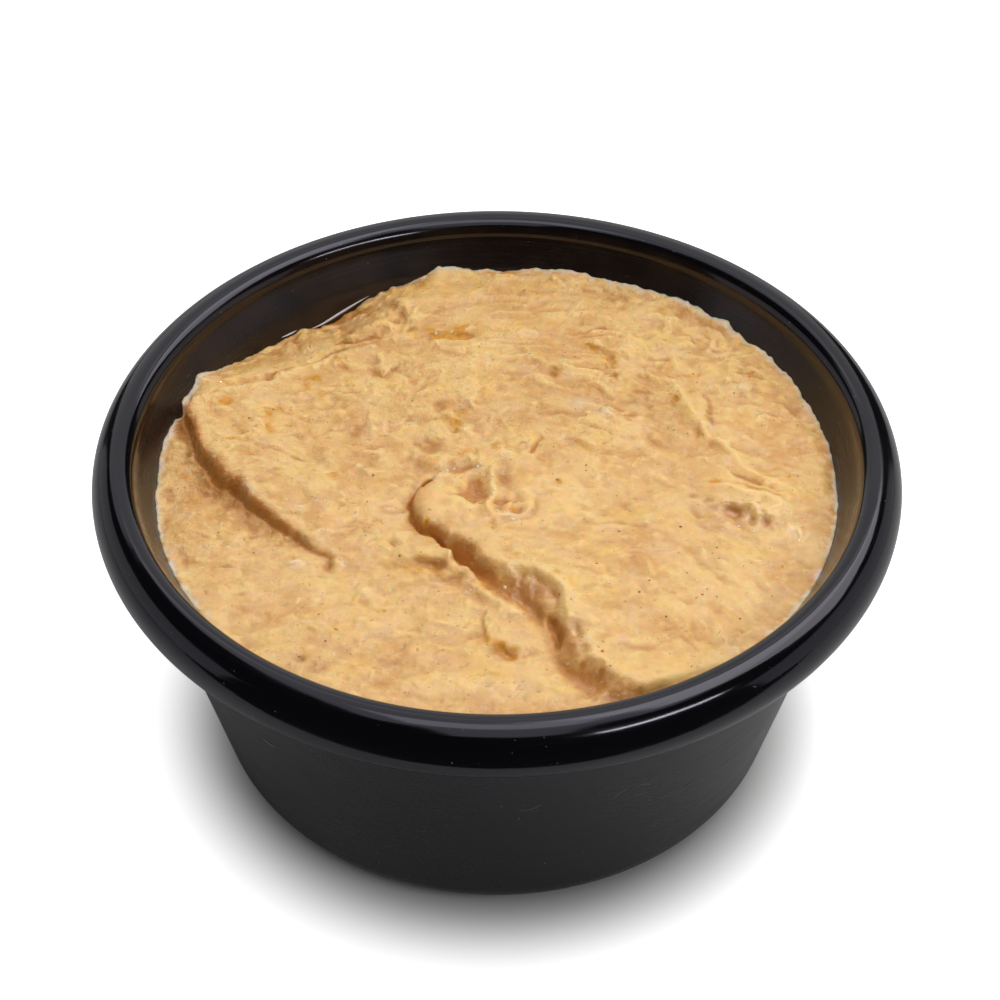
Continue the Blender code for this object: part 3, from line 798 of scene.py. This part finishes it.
def foldShape(x, y, fold):
    # The bank's rise, with the apron's t^1.8 below it, sinking back behind it over reach and
    # fading at both ends, less a bell along its foot; the lean, a bell centred on the lip that
    # moves it out over the low side; and the torn face, a bell low on the bank, for torn relief and
    # painted shade.
    across, along, left = acrossAndAlong(x, y, curveThrough(fold["line"], 56))
    across = across + fold["offset"]
    face = fold["face"]
    hollow = fold["bank"] == "hollow"
    lip, foot, middle = (0, -0.75 * face, -0.4 * face) if hollow else (0.3 * face, 0, 0.15 * face)
    ends = endFade(along, fold["fade"])
    back = 1 - smoothStep(across, 0.6, fold["reach"])
    rise = bankRise(across, fold["bank"], face)
    if "apron" in fold:
        slope = np.clip(across / fold["apron"] + 1, 0, 1) ** 1.8
        rise = 0.67 * rise + 0.33 * slope
    height = fold["drop"] * rise * back
    height -= fold["foot"] * np.exp(-(((across - foot) / (0.35 * face)) ** 2))
    push = -np.interp(along, (0, 1), fold["lean"]) * np.exp(-(((across - lip) / 0.9) ** 2))
    torn = np.exp(-(((across - middle) / fold.get("torn", 0.38 * face)) ** 2))
    return height * ends, (push * ends)[..., None] * left, torn * ends


def creaseShape(x, y, crease):
    # A step of height rise that dies away behind the line, less a bell-shaped groove along it;
    # and the groove's share of painted shade, a darker tan painted along it.
    rise, cut, width, reach, paintedShade, fade, points = crease
    line = curveThrough(points, 4 * len(points))
    low, high = line.min(0) - 16, line.max(0) + 16
    near = (x > low[0]) & (x < high[0]) & (y > low[1]) & (y < high[1])
    across, along, _ = acrossAndAlong(x[near], y[near], line)
    step = smoothStep(across, -width, width) * np.exp(-((np.maximum(across, 0) / reach) ** 2))
    groove = np.exp(-((across / width) ** 2))
    ends = endFade(along, fade)
    height, shadeShares = np.zeros(x.shape), np.zeros(x.shape)
    height[near] = (rise * step - cut * groove) * ends
    shadeShares[near] = paintedShade * groove * ends
    return height, shadeShares


def lumpShape(x, y, lump):
    # Elliptical bell exp(-q^k), q = (u/length)^2 + (v/width)^2, with u and v turned by the given
    # angle; k is 1, or more for a flat top and steep sides.
    centreX, centreY, length, width, turn = lump[:5]
    c, s = math.cos(math.radians(turn)), math.sin(math.radians(turn))
    u = (x - centreX) * c + (y - centreY) * s
    v = (y - centreY) * c - (x - centreX) * s
    q = (u / length) ** 2 + (v / width) ** 2
    return np.exp(-(q ** (lump[6] if len(lump) > 6 else 1)))


def roughShare(x, y):
    # The paste is about twice as rough on the far half as on the near one.
    return 1 + 0.9 * smoothStep(y - 0.3 * x, -8, 10)


def pasteRelief(x, y):
    # Broad swells, creamy lumps drawn out along the spoon's way, soft crests and thin wrinkles
    # where a drifting noise crosses zero, a few crumbs and pits where it peaks, and granules.
    # Crumbs and granules are higher on the rough far half.
    seed = hummus["seed"]
    forms = hummus["forms"]
    coarse = roughShare(x, y)
    way = np.radians(-28) * smoothStep(x + 0.5 * y, 4, 24)
    east, north = x * np.cos(way) + y * np.sin(way), y * np.cos(way) - x * np.sin(way)
    drift, size = forms["drift"]
    u = east + drift * layeredNoise(x, y, size, 3, seed)
    v = north + drift * layeredNoise(x, y, size, 3, seed + 10)
    height, size = forms["swells"]
    relief = height * layeredNoise(x, y, size, 2, seed + 20)
    height, size = forms["lumps"]
    relief += height * layeredNoise(0.6 * u, v, size, 2, seed + 30)
    height, size = forms["granules"]
    relief += height * coarse * layeredNoise(0.8 * u, v, size, 2, seed + 40)
    height, size = forms["crumbs"]
    crumbs = layeredNoise(0.85 * u, v, size, 2, seed + 45)
    depth = forms["pits"]
    relief += height * coarse * smoothStep(crumbs, 0.4, 1.1) - depth * smoothStep(-crumbs, 0.7, 1.3)
    height, size, width = forms["crests"]
    crest = layeredNoise(0.45 * u, v, size, 2, seed + 55)
    relief += height * np.exp(-((crest / width) ** 2)) * smoothStep(relief, -0.2, 0.25)
    height, size, width = forms["wrinkles"]
    wrinkle = layeredNoise(0.45 * u, v, size, 3, seed + 50)
    patches = smoothStep(layeredNoise(x, y, 4.5, 2, seed + 60), -0.05, 0.6)
    relief -= height * patches * np.exp(-((wrinkle / width) ** 2))
    return relief


def edgeSettings(x, y):
    # Height and reach of the fill where it meets the wall, read round the list by angle.
    angles, rises, reaches = np.array(hummus["edge"]).T
    bearing = np.degrees(np.arctan2(y, x)) % 360
    return np.interp(bearing, angles, rises), np.interp(bearing, angles, reaches)


def dipShape(x, y):
    # Level, folds, creases and lumps, drawn to the edge's own height within its reach, and rougher
    # on torn faces; the height, how far the lips lean out, and the share of painted shade.
    seed = hummus["seed"]
    wander = hummus["wander"]
    wanderX = wander * layeredNoise(x, y, 2.2, 3, seed + 90)
    wanderY = wander * layeredNoise(x, y, 2.2, 3, seed + 100)
    height = np.full(np.shape(x), hummus["level"], float)
    lean = np.zeros(np.shape(x) + (2,))
    torn = sum(0.6 * lumpShape(x, y, spot) for spot in hummus["ragged"])
    # Painted shade: a darker tan painted on torn faces and in grooves.
    paintedShade = np.zeros(np.shape(x))
    for fold in hummus["folds"].values():
        rise, push, face = foldShape(x + 0.8 * wanderX, y + 0.8 * wanderY, fold)
        height += rise
        lean += push
        torn += face
        paintedShade += fold["paintedShade"] * face
    for crease in hummus["creases"].values():
        rise, face = creaseShape(x + wanderX, y + wanderY, crease)
        height += rise
        paintedShade += face
    for lump in hummus["lumps"]:
        height += lump[5] * lumpShape(x + 0.6 * wanderX, y + 0.6 * wanderY, lump)
    rise, reach = edgeSettings(x, y)
    inward = wallRadius(hummus["level"]) - np.hypot(x, y)
    edge = hummus["level"] + rise + hummus["unevenEdge"] * layeredNoise(x, y, 1.1, 3, seed + 110)
    height = edge + (height - edge) * smoothStep(inward, 0, reach)
    height += pasteRelief(x, y) * (0.5 + 0.5 * smoothStep(inward, 0, 1.5))
    height += torn * hummus["tornRelief"] * layeredNoise(x, y, 1.5, 3, seed + 120)
    return height, lean * smoothStep(inward, 0, 2)[..., None], paintedShade


def discGrid(cells):
    # A square grid laid on the unit disc: each square ring of it becomes a circle.
    axis = np.linspace(-1, 1, cells + 1)
    u, v = np.meshgrid(axis, axis, indexing="ij")
    wide = np.abs(u) >= np.abs(v)
    radius = np.where(wide, u, v)
    ratio = np.where(wide, v, u) / np.where(radius == 0, 1, radius)
    angle = ratio * math.pi / 4
    x = np.where(wide, radius * np.cos(angle), radius * np.sin(angle))
    y = np.where(wide, radius * np.sin(angle), radius * np.cos(angle))
    return x, y


def wallRadius(height):
    # Radius of the ramekin's inside at a height.
    radii, heights = innerSection(ramekin)[1:].T
    return np.interp(height, heights, radii)


def makeHummus(settings):
    # The top is a grid on the disc out to the wall; the side follows the wall to the floor.
    cells = settings["cells"]
    unitX, unitY = discGrid(cells)
    angle = np.arctan2(unitY, unitX)
    ring = rimLoop(cells)
    edgeAngle = angle.ravel()[ring]
    edgeReach = np.full(len(ring), wallRadius(settings["level"]))
    for _ in range(4):
        edgeHeight = dipShape(edgeReach * np.cos(edgeAngle), edgeReach * np.sin(edgeAngle))[0]
        edgeReach = wallRadius(edgeHeight) + settings["pressIn"]
    order = np.argsort(edgeAngle)
    reach = np.interp(angle, edgeAngle[order], edgeReach[order], period=2 * math.pi)
    x, y = unitX * reach, unitY * reach
    height, lean, paintedShade = dipShape(x, y)
    top = np.stack([x + lean[..., 0], y + lean[..., 1], height], -1).reshape(-1, 3)
    direction = np.column_stack([np.cos(edgeAngle), np.sin(edgeAngle)])
    rows = [top]
    floorHeight = ramekin["floorHeight"] - settings["pressIn"]
    for share in settings["sideRows"]:
        z = top[ring, 2] + (floorHeight - top[ring, 2]) * share
        rows.append(np.column_stack([direction * (wallRadius(z) + settings["pressIn"])[:, None], z]))
    points = np.vstack(rows + [[(0, 0, floorHeight)]])
    index = np.arange(len(top)).reshape(cells + 1, cells + 1)
    quads = [np.stack([index[:-1, :-1], index[1:, :-1], index[1:, 1:], index[:-1, 1:]], -1)]
    upper = ring
    for row in range(len(settings["sideRows"])):
        lower = len(top) + row * len(ring) + np.arange(len(ring))
        quads.append(np.stack([upper, lower, np.roll(lower, -1), np.roll(upper, -1)], -1))
        upper = lower
    quads = np.vstack([band.reshape(-1, 4) for band in quads])
    middle = np.full(len(ring), len(points) - 1)
    triangles = np.stack([upper, middle, np.roll(upper, -1)], -1)
    piece = meshFrom("hummusDip", points, quads, triangles)
    # Proud, the height above softened ground, becomes painted shade in hollows and painted light on
    # crests in the finish.
    stands = sum((height - softened(height, passes)) / full for passes, full in settings["stands"])
    below = np.zeros(len(points) - len(top))
    proud = np.concatenate([0.5 + stands.ravel(), below + 0.5])
    shadeShares = np.concatenate([paintedShade.ravel(), below])
    addMasks(piece, points[:, 0], points[:, 1], proud, shadeShares)
    return piece


def softened(grid, passes):
    # Each pass averages every point of the grid with its neighbours, 1 2 1, along both sides.
    for _ in range(passes):
        for axis in (0, 1):
            padded = np.pad(grid, 1, mode="edge")
            middle = padded[1:-1, 1:-1]
            pair = np.roll(padded, 1, axis)[1:-1, 1:-1] + np.roll(padded, -1, axis)[1:-1, 1:-1]
            grid = (2 * middle + pair) / 4
    return grid


def addMasks(piece, x, y, proud, shadeShares):
    # Per-point shares for the finish: oil, wet, pale and tan from the listed spots, where tan is
    # painted shade, with the painted shade of torn faces and grooves added to it, pale on a fringe at
    # the wall, proud where the paste stands above what is round it, which the finish paints as shade
    # in hollows and light on crests, rough on the far half.
    seed = hummus["seed"]
    strength = hummus["masks"]
    ragged = smoothStep(layeredNoise(x, y, 1.0, 3, seed + 70), -0.8, 0.2)
    fine = layeredNoise(x, y, 0.7, 3, seed + 80)
    inward = wallRadius(hummus["level"]) - np.hypot(x, y)
    fringe = 1 - smoothStep(inward + 0.4 * fine, 0.05, 0.6)
    masks = {name: np.zeros(len(x)) for name in ("oil", "wet", "pale", "tan")}
    for name, shares in masks.items():
        for spot in hummus[name]:
            shares += spot[5] * lumpShape(x + 0.15 * fine, y - 0.15 * fine, spot)
    masks["oil"] *= strength["oil"] * ragged
    # Tan is painted shade: the tan spots and the painted shade of torn faces and grooves, varied by
    # noise.
    masks["tan"] = (masks["tan"] + shadeShares) * (0.75 + 0.35 * fine)
    masks["pale"] = strength["pale"] * masks["pale"] + strength["fringe"] * fringe
    masks["proud"] = proud
    masks["rough"] = 0.5 * roughShare(x, y)
    for name, shares in masks.items():
        layer = piece.data.attributes.new(name, "FLOAT", "POINT")
        layer.data.foreach_set("value", np.clip(shares, -1, 2).astype(np.float32))


def rimLoop(cells):
    # Indices of the grid's outer ring, in order round the disc.
    index = np.arange((cells + 1) ** 2).reshape(cells + 1, cells + 1)
    return np.concatenate([index[:-1, 0], index[-1, :-1], index[:0:-1, -1], index[0, :0:-1]])


paste = {
    "light": (0.83, 0.555, 0.22, 1),
    "dark": (0.69, 0.375, 0.115, 1),
    "blush": (0.77, 0.485, 0.235, 1),
    "butter": (0.87, 0.585, 0.17, 1),
    # Low is the tone of painted shade in hollows; high is a random tone and also painted light on
    # crests.
    "low": (0.54, 0.235, 0.05, 1),
    "high": (0.90, 0.635, 0.265, 1),
    # Tan is the tone of painted shade on torn faces, in grooves and hollows.
    "tan": (0.55, 0.24, 0.055, 1),
    "oil": (0.66, 0.31, 0.02, 1),
    "pale": (0.76, 0.64, 0.49, 1),
    "bran": (0.40, 0.19, 0.06, 1),
    # Laid over the dark tone in this order: tone; a mask, or a noise by scale, detail and
    # roughness; the values between which the tone comes in; its greatest share
    "layers": [
        ("light", (170, 6, 0.65), (0.38, 0.58), 1),
        ("blush", (330, 4, 0.6), (0.48, 0.68), 0.75),
        ("butter", (240, 4, 0.6), (0.50, 0.68), 0.65),
        ("high", (950, 2, 0.5), (0.54, 0.68), 0.5),
        # Painted shade and light: low in hollows where proud is small, high on crests where it is
        # large.
        ("low", "proud", (0.46, -0.02), 1),
        ("high", "proud", (0.57, 1.0), 0.75),
        # Painted shade: the tan tone over the tan mask.
        ("tan", "tan", (0, 1), 1),
        ("pale", (1500, 2, 0.5), (0.64, 0.72), 0.35),
        ("bran", (1900, 1, 0.5), (0.69, 0.78), 0.6),
        ("pale", "pale", (0, 1), 1),
        ("oil", "oil", (0, 1), 1),
    ],
    "scatter": {"IOR": 1.42, "Subsurface_Weight": 1.0, "Subsurface_Radius": (1.0, 0.5, 0.2),
                "Subsurface_Scale": 0.32 * mm},
    "coat": {"Coat_Roughness": 0.04, "Coat_IOR": 1.6},
}


def hummusFinish(settings):
    # Cream, tan and bran tones over each other, with painted shade in the tan and low tones and
    # painted light in the high tone on crests, two sizes of bump, and a wet coat.
    material, tree = newMaterial("creamyHummus")
    place = placeNode(tree)
    colour = settings["dark"]
    for tone, source, (start, end), share in settings["layers"]:
        isMask = isinstance(source, str)
        value = maskNode(tree, source) if isMask else noiseNode(tree, place, *source)
        colour = mixColour(tree, rangeNode(tree, value, start, end, 0, share), colour, settings[tone])
    rough = maskNode(tree, "rough")
    strength = rangeNode(tree, rough, 0.5, 1, 0.4, 0.9)
    soft = bumpNode(tree, noiseNode(tree, place, 900, 3), 0.35 * mm, strength)
    strength = rangeNode(tree, rough, 0.5, 1, 0.4, 1)
    granules = bumpNode(tree, noiseNode(tree, place, 2300, 3, 0.6), 0.25 * mm, strength, Normal=soft)
    wet = maskNode(tree, "wet")
    film = rangeNode(tree, noiseNode(tree, place, 420, 3), 0.40, 0.62, 0, 0.6)
    glossy = mathNode(tree, "MAXIMUM", mathNode(tree, "MAXIMUM", wet, maskNode(tree, "oil")), film)
    # The wet film is a coat with small bumps of its own, so that it glints.
    beads = bumpNode(tree, noiseNode(tree, place, 1300, 2), 0.4 * mm)
    coat = mathNode(tree, "MAXIMUM", wet, rangeNode(tree, film, 0, 0.6, 0, 0.25))
    addShader(
        tree, Base_Color=colour, Roughness=rangeNode(tree, glossy, 0, 1, 0.38, 0.2),
        Normal=granules, Coat_Weight=coat, Coat_Normal=beads,
        **settings["scatter"], **settings["coat"],
    )
    return material


hummusPiece = makeHummus(hummus)
hummusPiece.data.materials.append(hummusFinish(paste))
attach(hummusPiece, "root")
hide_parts("hummus")
dipOnly.objects.link(hummusPiece)
print("hummus filled in")


def strandOn(where, path, width, rise, steps, sides):
    # Points of a low ridge along a path of angle and height on the wall, thinning to nothing at
    # both ends: half of its width is w = width sin(pi t), its points lie w cos q along the wall
    # and rise w sin q out of it.
    line = curveThrough(path, steps)
    angle, height = np.radians(line[:, 0]), line[:, 1]
    out = np.column_stack([np.cos(angle), np.sin(angle), np.zeros(steps)])
    spine = out * where(height)[:, None] + np.column_stack([0 * height, 0 * height, height])
    run = np.gradient(spine, axis=0)
    across = np.cross(out, run)
    across /= np.linalg.norm(across, axis=1)[:, None]
    half = width * np.sin(math.pi * np.linspace(0.02, 0.98, steps))[:, None, None]
    q = (np.arange(sides) * 2 * math.pi / sides)[None, :, None]
    body = spine[:, None] + half * (np.cos(q) * across[:, None] + rise * np.sin(q) * out[:, None])
    return np.vstack([body.reshape(-1, 3), spine[:1], spine[-1:]])


def meshOfMany(name, bodies, quads, triangles):
    # One piece of many bodies that share their faces.
    starts = np.arange(len(bodies))[:, None, None] * len(bodies[0])
    quads = (quads + starts).reshape(-1, 4)
    return meshFrom(name, np.vstack(bodies), quads, (triangles + starts).reshape(-1, 3))


def makeStrands(name, settings, where, steps=24, sides=6):
    # All the strands of a kind as one piece.
    rise = settings["rise"]
    bodies = [strandOn(where, path, width, rise, steps, sides) for path, width in settings["marks"]]
    piece = meshOfMany(name, bodies, *tubeFaces(steps, sides))
    material, tree = newMaterial(name)
    addShader(tree, Base_Color=settings["colour"], Roughness=settings["roughness"])
    piece.data.materials.append(material)
    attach(piece, "root")


def outerWallRadius(height):
    # Radius of the drafted outer wall at a height.
    top, topHeight = ramekin["wallTop"]
    return top - (topHeight - height) * math.tan(math.radians(ramekin["draft"]))


# Marks: each a path of (angle in degrees, height) and a half width
scuffs = {
    "marks": [
        ([(273.3, 20.7), (275.5, 20.9), (277.6, 21.8)], 0.07),
        ([(273.5, 19.2), (273.9, 19.2)], 0.09), ([(270.6, 21.9), (271.1, 21.7)], 0.1),
        ([(289.5, 20.0), (290.5, 21.1), (292.1, 21.7)], 0.06),
        ([(292.6, 19.6), (294.7, 19.4), (296.6, 19.3)], 0.06),
        ([(292.6, 21.1), (294.5, 21.4), (296.2, 20.6)], 0.05),
        ([(227.8, 21.9), (229.3, 21.6), (230.8, 21.4)], 0.24),
    ],
    "rise": 0.35, "colour": (0.05, 0.05, 0.052, 1), "roughness": 0.3, "slot": "ramekin",
}
# Smears of paste on the wall at the dip's edge, coloured a pale bluish grey as a painted glint.
paintedGlintSmears = {
    "marks": [
        ([(127.6, 30.6), (124.5, 30.6), (121.0, 31.0), (117.6, 31.5), (114.4, 32.0)], 0.17),
        ([(133.5, 31.3), (131.5, 31.2), (129.8, 31.2)], 0.12),
    ],
    "rise": 0.8, "colour": (0.62, 0.62, 0.66, 1), "roughness": 0.12, "slot": "dip",
}
makeStrands("scuffs", scuffs, outerWallRadius)
makeStrands("paintedGlintSmears", paintedGlintSmears, wallRadius)
print("scuffs and smears laid")

# Flecks pressed into the dip, each kind one piece: places on plan, size in millimetres, and
# how many are strewn at random, as finer ones. Under is a second tone.
flecks = {
    "pepperFlecks": {
        "places": [(22, -10.6), (12.3, -8.2), (-14.5, 25.6), (18.5, -7.7), (9.9, -13.6), (20.7, -16.5),
                   (16.5, -20.5), (23.7, -20.5), (-19, -25.3), (-25.9, 7.4), (31.6, 8.6),
                   (25.2, 13.5), (16.6, 2.2), (9.2, 1.8), (18.5, 7.3), (10.7, 16),
                   (-28, -8.5), (-24.3, -11), (-13.2, -4.4), (3.5, 19.5), (-9, 12), (-20.5, 10)],
        "size": 0.125, "strewn": 130, "finer": 0.5, "colour": (0.15, 0.065, 0.03, 1), "seed": 3,
    },
    "chilliFlecks": {
        "places": [(10.1, -26.4), (20.2, -17.3), (-6.7, -0.9), (14, -17.2), (21, 16.3),
                   (-23.5, 9.2), (6.2, -0.7)],
        "size": 0.17, "strewn": 70, "finer": 0.55, "colour": (0.48, 0.10, 0.02, 1), "seed": 5,
    },
    "cuminFlecks": {
        "places": [(-15.6, -22), (-11, -19.4), (28.4, -13)],
        "size": 0.22, "strewn": 50, "finer": 0.5, "colour": (0.74, 0.5, 0.06, 1), "seed": 9,
    },
    # Pale beads at the wet places are painted glints: small pale specks that stand for highlights.
    "paintedGlintBeads": {
        "places": [(-5.9, 0.2), (-5.6, 0.5), (-5.1, 0.8), (-4.4, 1.2), (-2, 1.5), (-1.7, 1.6),
                   (0.8, -6.2), (1.1, -6.7), (1.6, -7), (2.3, -7.1), (2.8, -7), (-0.3, -2.3),
                   (-0.4, -3.2), (0.1, -5.6), (1.5, -14.7), (1.4, -15.5), (-2.6, -16.9),
                   (0.8, -16.7), (25.9, -8.2), (26.6, -7.9), (30.3, -8.7), (30.6, -7.5),
                   (24.4, -7.3), (28.9, -7.1), (-22.7, 18.1), (-22.3, 18.3), (-25.4, -2.6),
                   (-12.8, 2.8), (11.3, 10.5), (11.9, 10.4), (26.1, 16), (-6.7, 23.6),
                   (-5, 23.8), (-19.9, -5.8), (-10.5, -16.6), (-4.2, -12.6)],
        "size": 0.16, "strewn": 40, "finer": 0.45, "colour": (0.95, 0.86, 0.68, 1), "seed": 12,
        "under": (0.88, 0.68, 0.38, 1), "roughness": 0.2,
    },
}


def surfaceFinder(piece):
    # Height and upright direction of the finished dip under any point on plan.
    tree = BVHTree.FromObject(piece, bpy.context.evaluated_depsgraph_get())

    def find(x, y):
        hit, normal, _, _ = tree.ray_cast(Vector((x, y, 100)) * mm, Vector((0, 0, -1)))
        return hit, normal

    return find


def makeFlecks(name, settings, find, rings=5, around=8):
    # Each fleck is a ball, squashed, stretched and turned at random:
    # x = a sin p cos q, y = b sin p sin q, z = c cos p, set on the surface along its upright.
    random = np.random.default_rng(settings["seed"])
    reach = 0.97 * wallRadius(hummus["level"])
    bearing = random.uniform(0, 2 * math.pi, settings["strewn"])
    distance = reach * np.sqrt(random.uniform(0, 1, settings["strewn"]))
    strewn = np.column_stack([distance * np.cos(bearing), distance * np.sin(bearing)])
    places = np.vstack([settings["places"], strewn])
    listed = len(settings["places"])
    angles = np.arange(around) * 2 * math.pi / around
    p, q = np.meshgrid(np.linspace(0, math.pi, rings + 2)[1:-1], angles, indexing="ij")
    ball = np.stack([np.sin(p) * np.cos(q), np.sin(p) * np.sin(q), np.cos(p)], -1).reshape(-1, 3)
    ball = np.vstack([ball, [(0, 0, 1), (0, 0, -1)]])
    bodies = []
    for number, (x, y) in enumerate(places):
        size = settings["size"] * (1 if number < listed else settings["finer"])
        size *= random.uniform(0.7, 1.25)
        stretch = random.uniform(0.55, 1.5, 2)
        turn = random.uniform(0, math.pi)
        hit, normal = find(x, y)
        shape = ball * (size * stretch[0], size * stretch[1], 0.4 * size)
        spin = Matrix.Rotation(turn, 3, "Z")
        tilt = normal.to_track_quat("Z", "Y").to_matrix() @ spin
        bodies.append(shape @ np.array(tilt).T + np.array(hit) / mm)
    piece = meshOfMany(name, bodies, *tubeFaces(rings, around))
    piece.data.materials.append(fleckFinish(name, settings))
    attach(piece, "root")


def fleckFinish(name, settings):
    # The tone varies from fleck to fleck, towards the second tone or the paste's low one.
    material, tree = newMaterial(name)
    share = rangeNode(tree, noiseNode(tree, placeNode(tree), 700, 3), 0.35, 0.7, 0, 0.7)
    tone = mixColour(tree, share, settings["colour"], settings.get("under", paste["low"]))
    addShader(tree, Base_Color=tone, Roughness=settings.get("roughness", 0.55))
    return material


onDip = surfaceFinder(hummusPiece)
for fleckName, fleckSettings in flecks.items():
    makeFlecks(fleckName, fleckSettings, onDip)
print("flecks strewn")


# Floor, in millimetres: the extent runs west, east, south and north; pale and glow are the
# tone and the glow away from the foot, which come in between two distances from the middle;
# shade is the darker tone near the foot, a painted contact shadow on the floor and the card.
floor = {
    "sheets": {
        "paleFloor": {"height": -0.07, "extent": (-8000, 8000, -8000, 8000), "pale": 0.8, "glow": 1.0},
        "floorCard": {"height": -0.02, "extent": (-700, 700, -66, 900), "pale": 0.6, "glow": 0.0},
    },
    "shade": 0.5,
    "shadeReach": (28, 75),
    "glowReach": (25.7, 42),
    "roughness": 0.7,
}


def addSheet(name, sheet, settings):
    west, east, south, north = sheet["extent"]
    corners = np.array([(west, south), (east, south), (east, north), (west, north)], float)
    points = np.column_stack([corners, np.full(4, sheet["height"])])
    piece = meshFrom(name, points, np.array([[0, 1, 2, 3]]), np.zeros((0, 3), int))
    material, tree = newMaterial(name)
    distance = lengthNode(tree, placeNode(tree))
    start, end = (reach * mm for reach in settings["shadeReach"])
    # Painted contact shadow: the tone darkens from pale to shade towards the foot.
    tone = rangeNode(tree, distance, start, end, settings["shade"], sheet["pale"])
    start, end = (reach * mm for reach in settings["glowReach"])
    glow = rangeNode(tree, distance, start, end, 0, sheet["glow"])
    glow.node.interpolation_type = "SMOOTHERSTEP"
    glowing = {"Emission_Color": (1, 1, 1, 1), "Emission_Strength": glow}
    addShader(tree, Base_Color=tone, Roughness=settings["roughness"], **glowing)
    piece.data.materials.append(material)
    return piece


def addFloor(settings):
    # A plain pale floor that glows away from the foot, so that the shadow stays close to it;
    # what a gloss surface sees of it is a smaller card just above, which does not glow.
    ground, card = (addSheet(name, sheet, settings) for name, sheet in settings["sheets"].items())
    ground.visible_glossy = False
    card.visible_camera = False
    card.visible_diffuse = False
    card.visible_shadow = False


addFloor(floor)
print("floor laid")
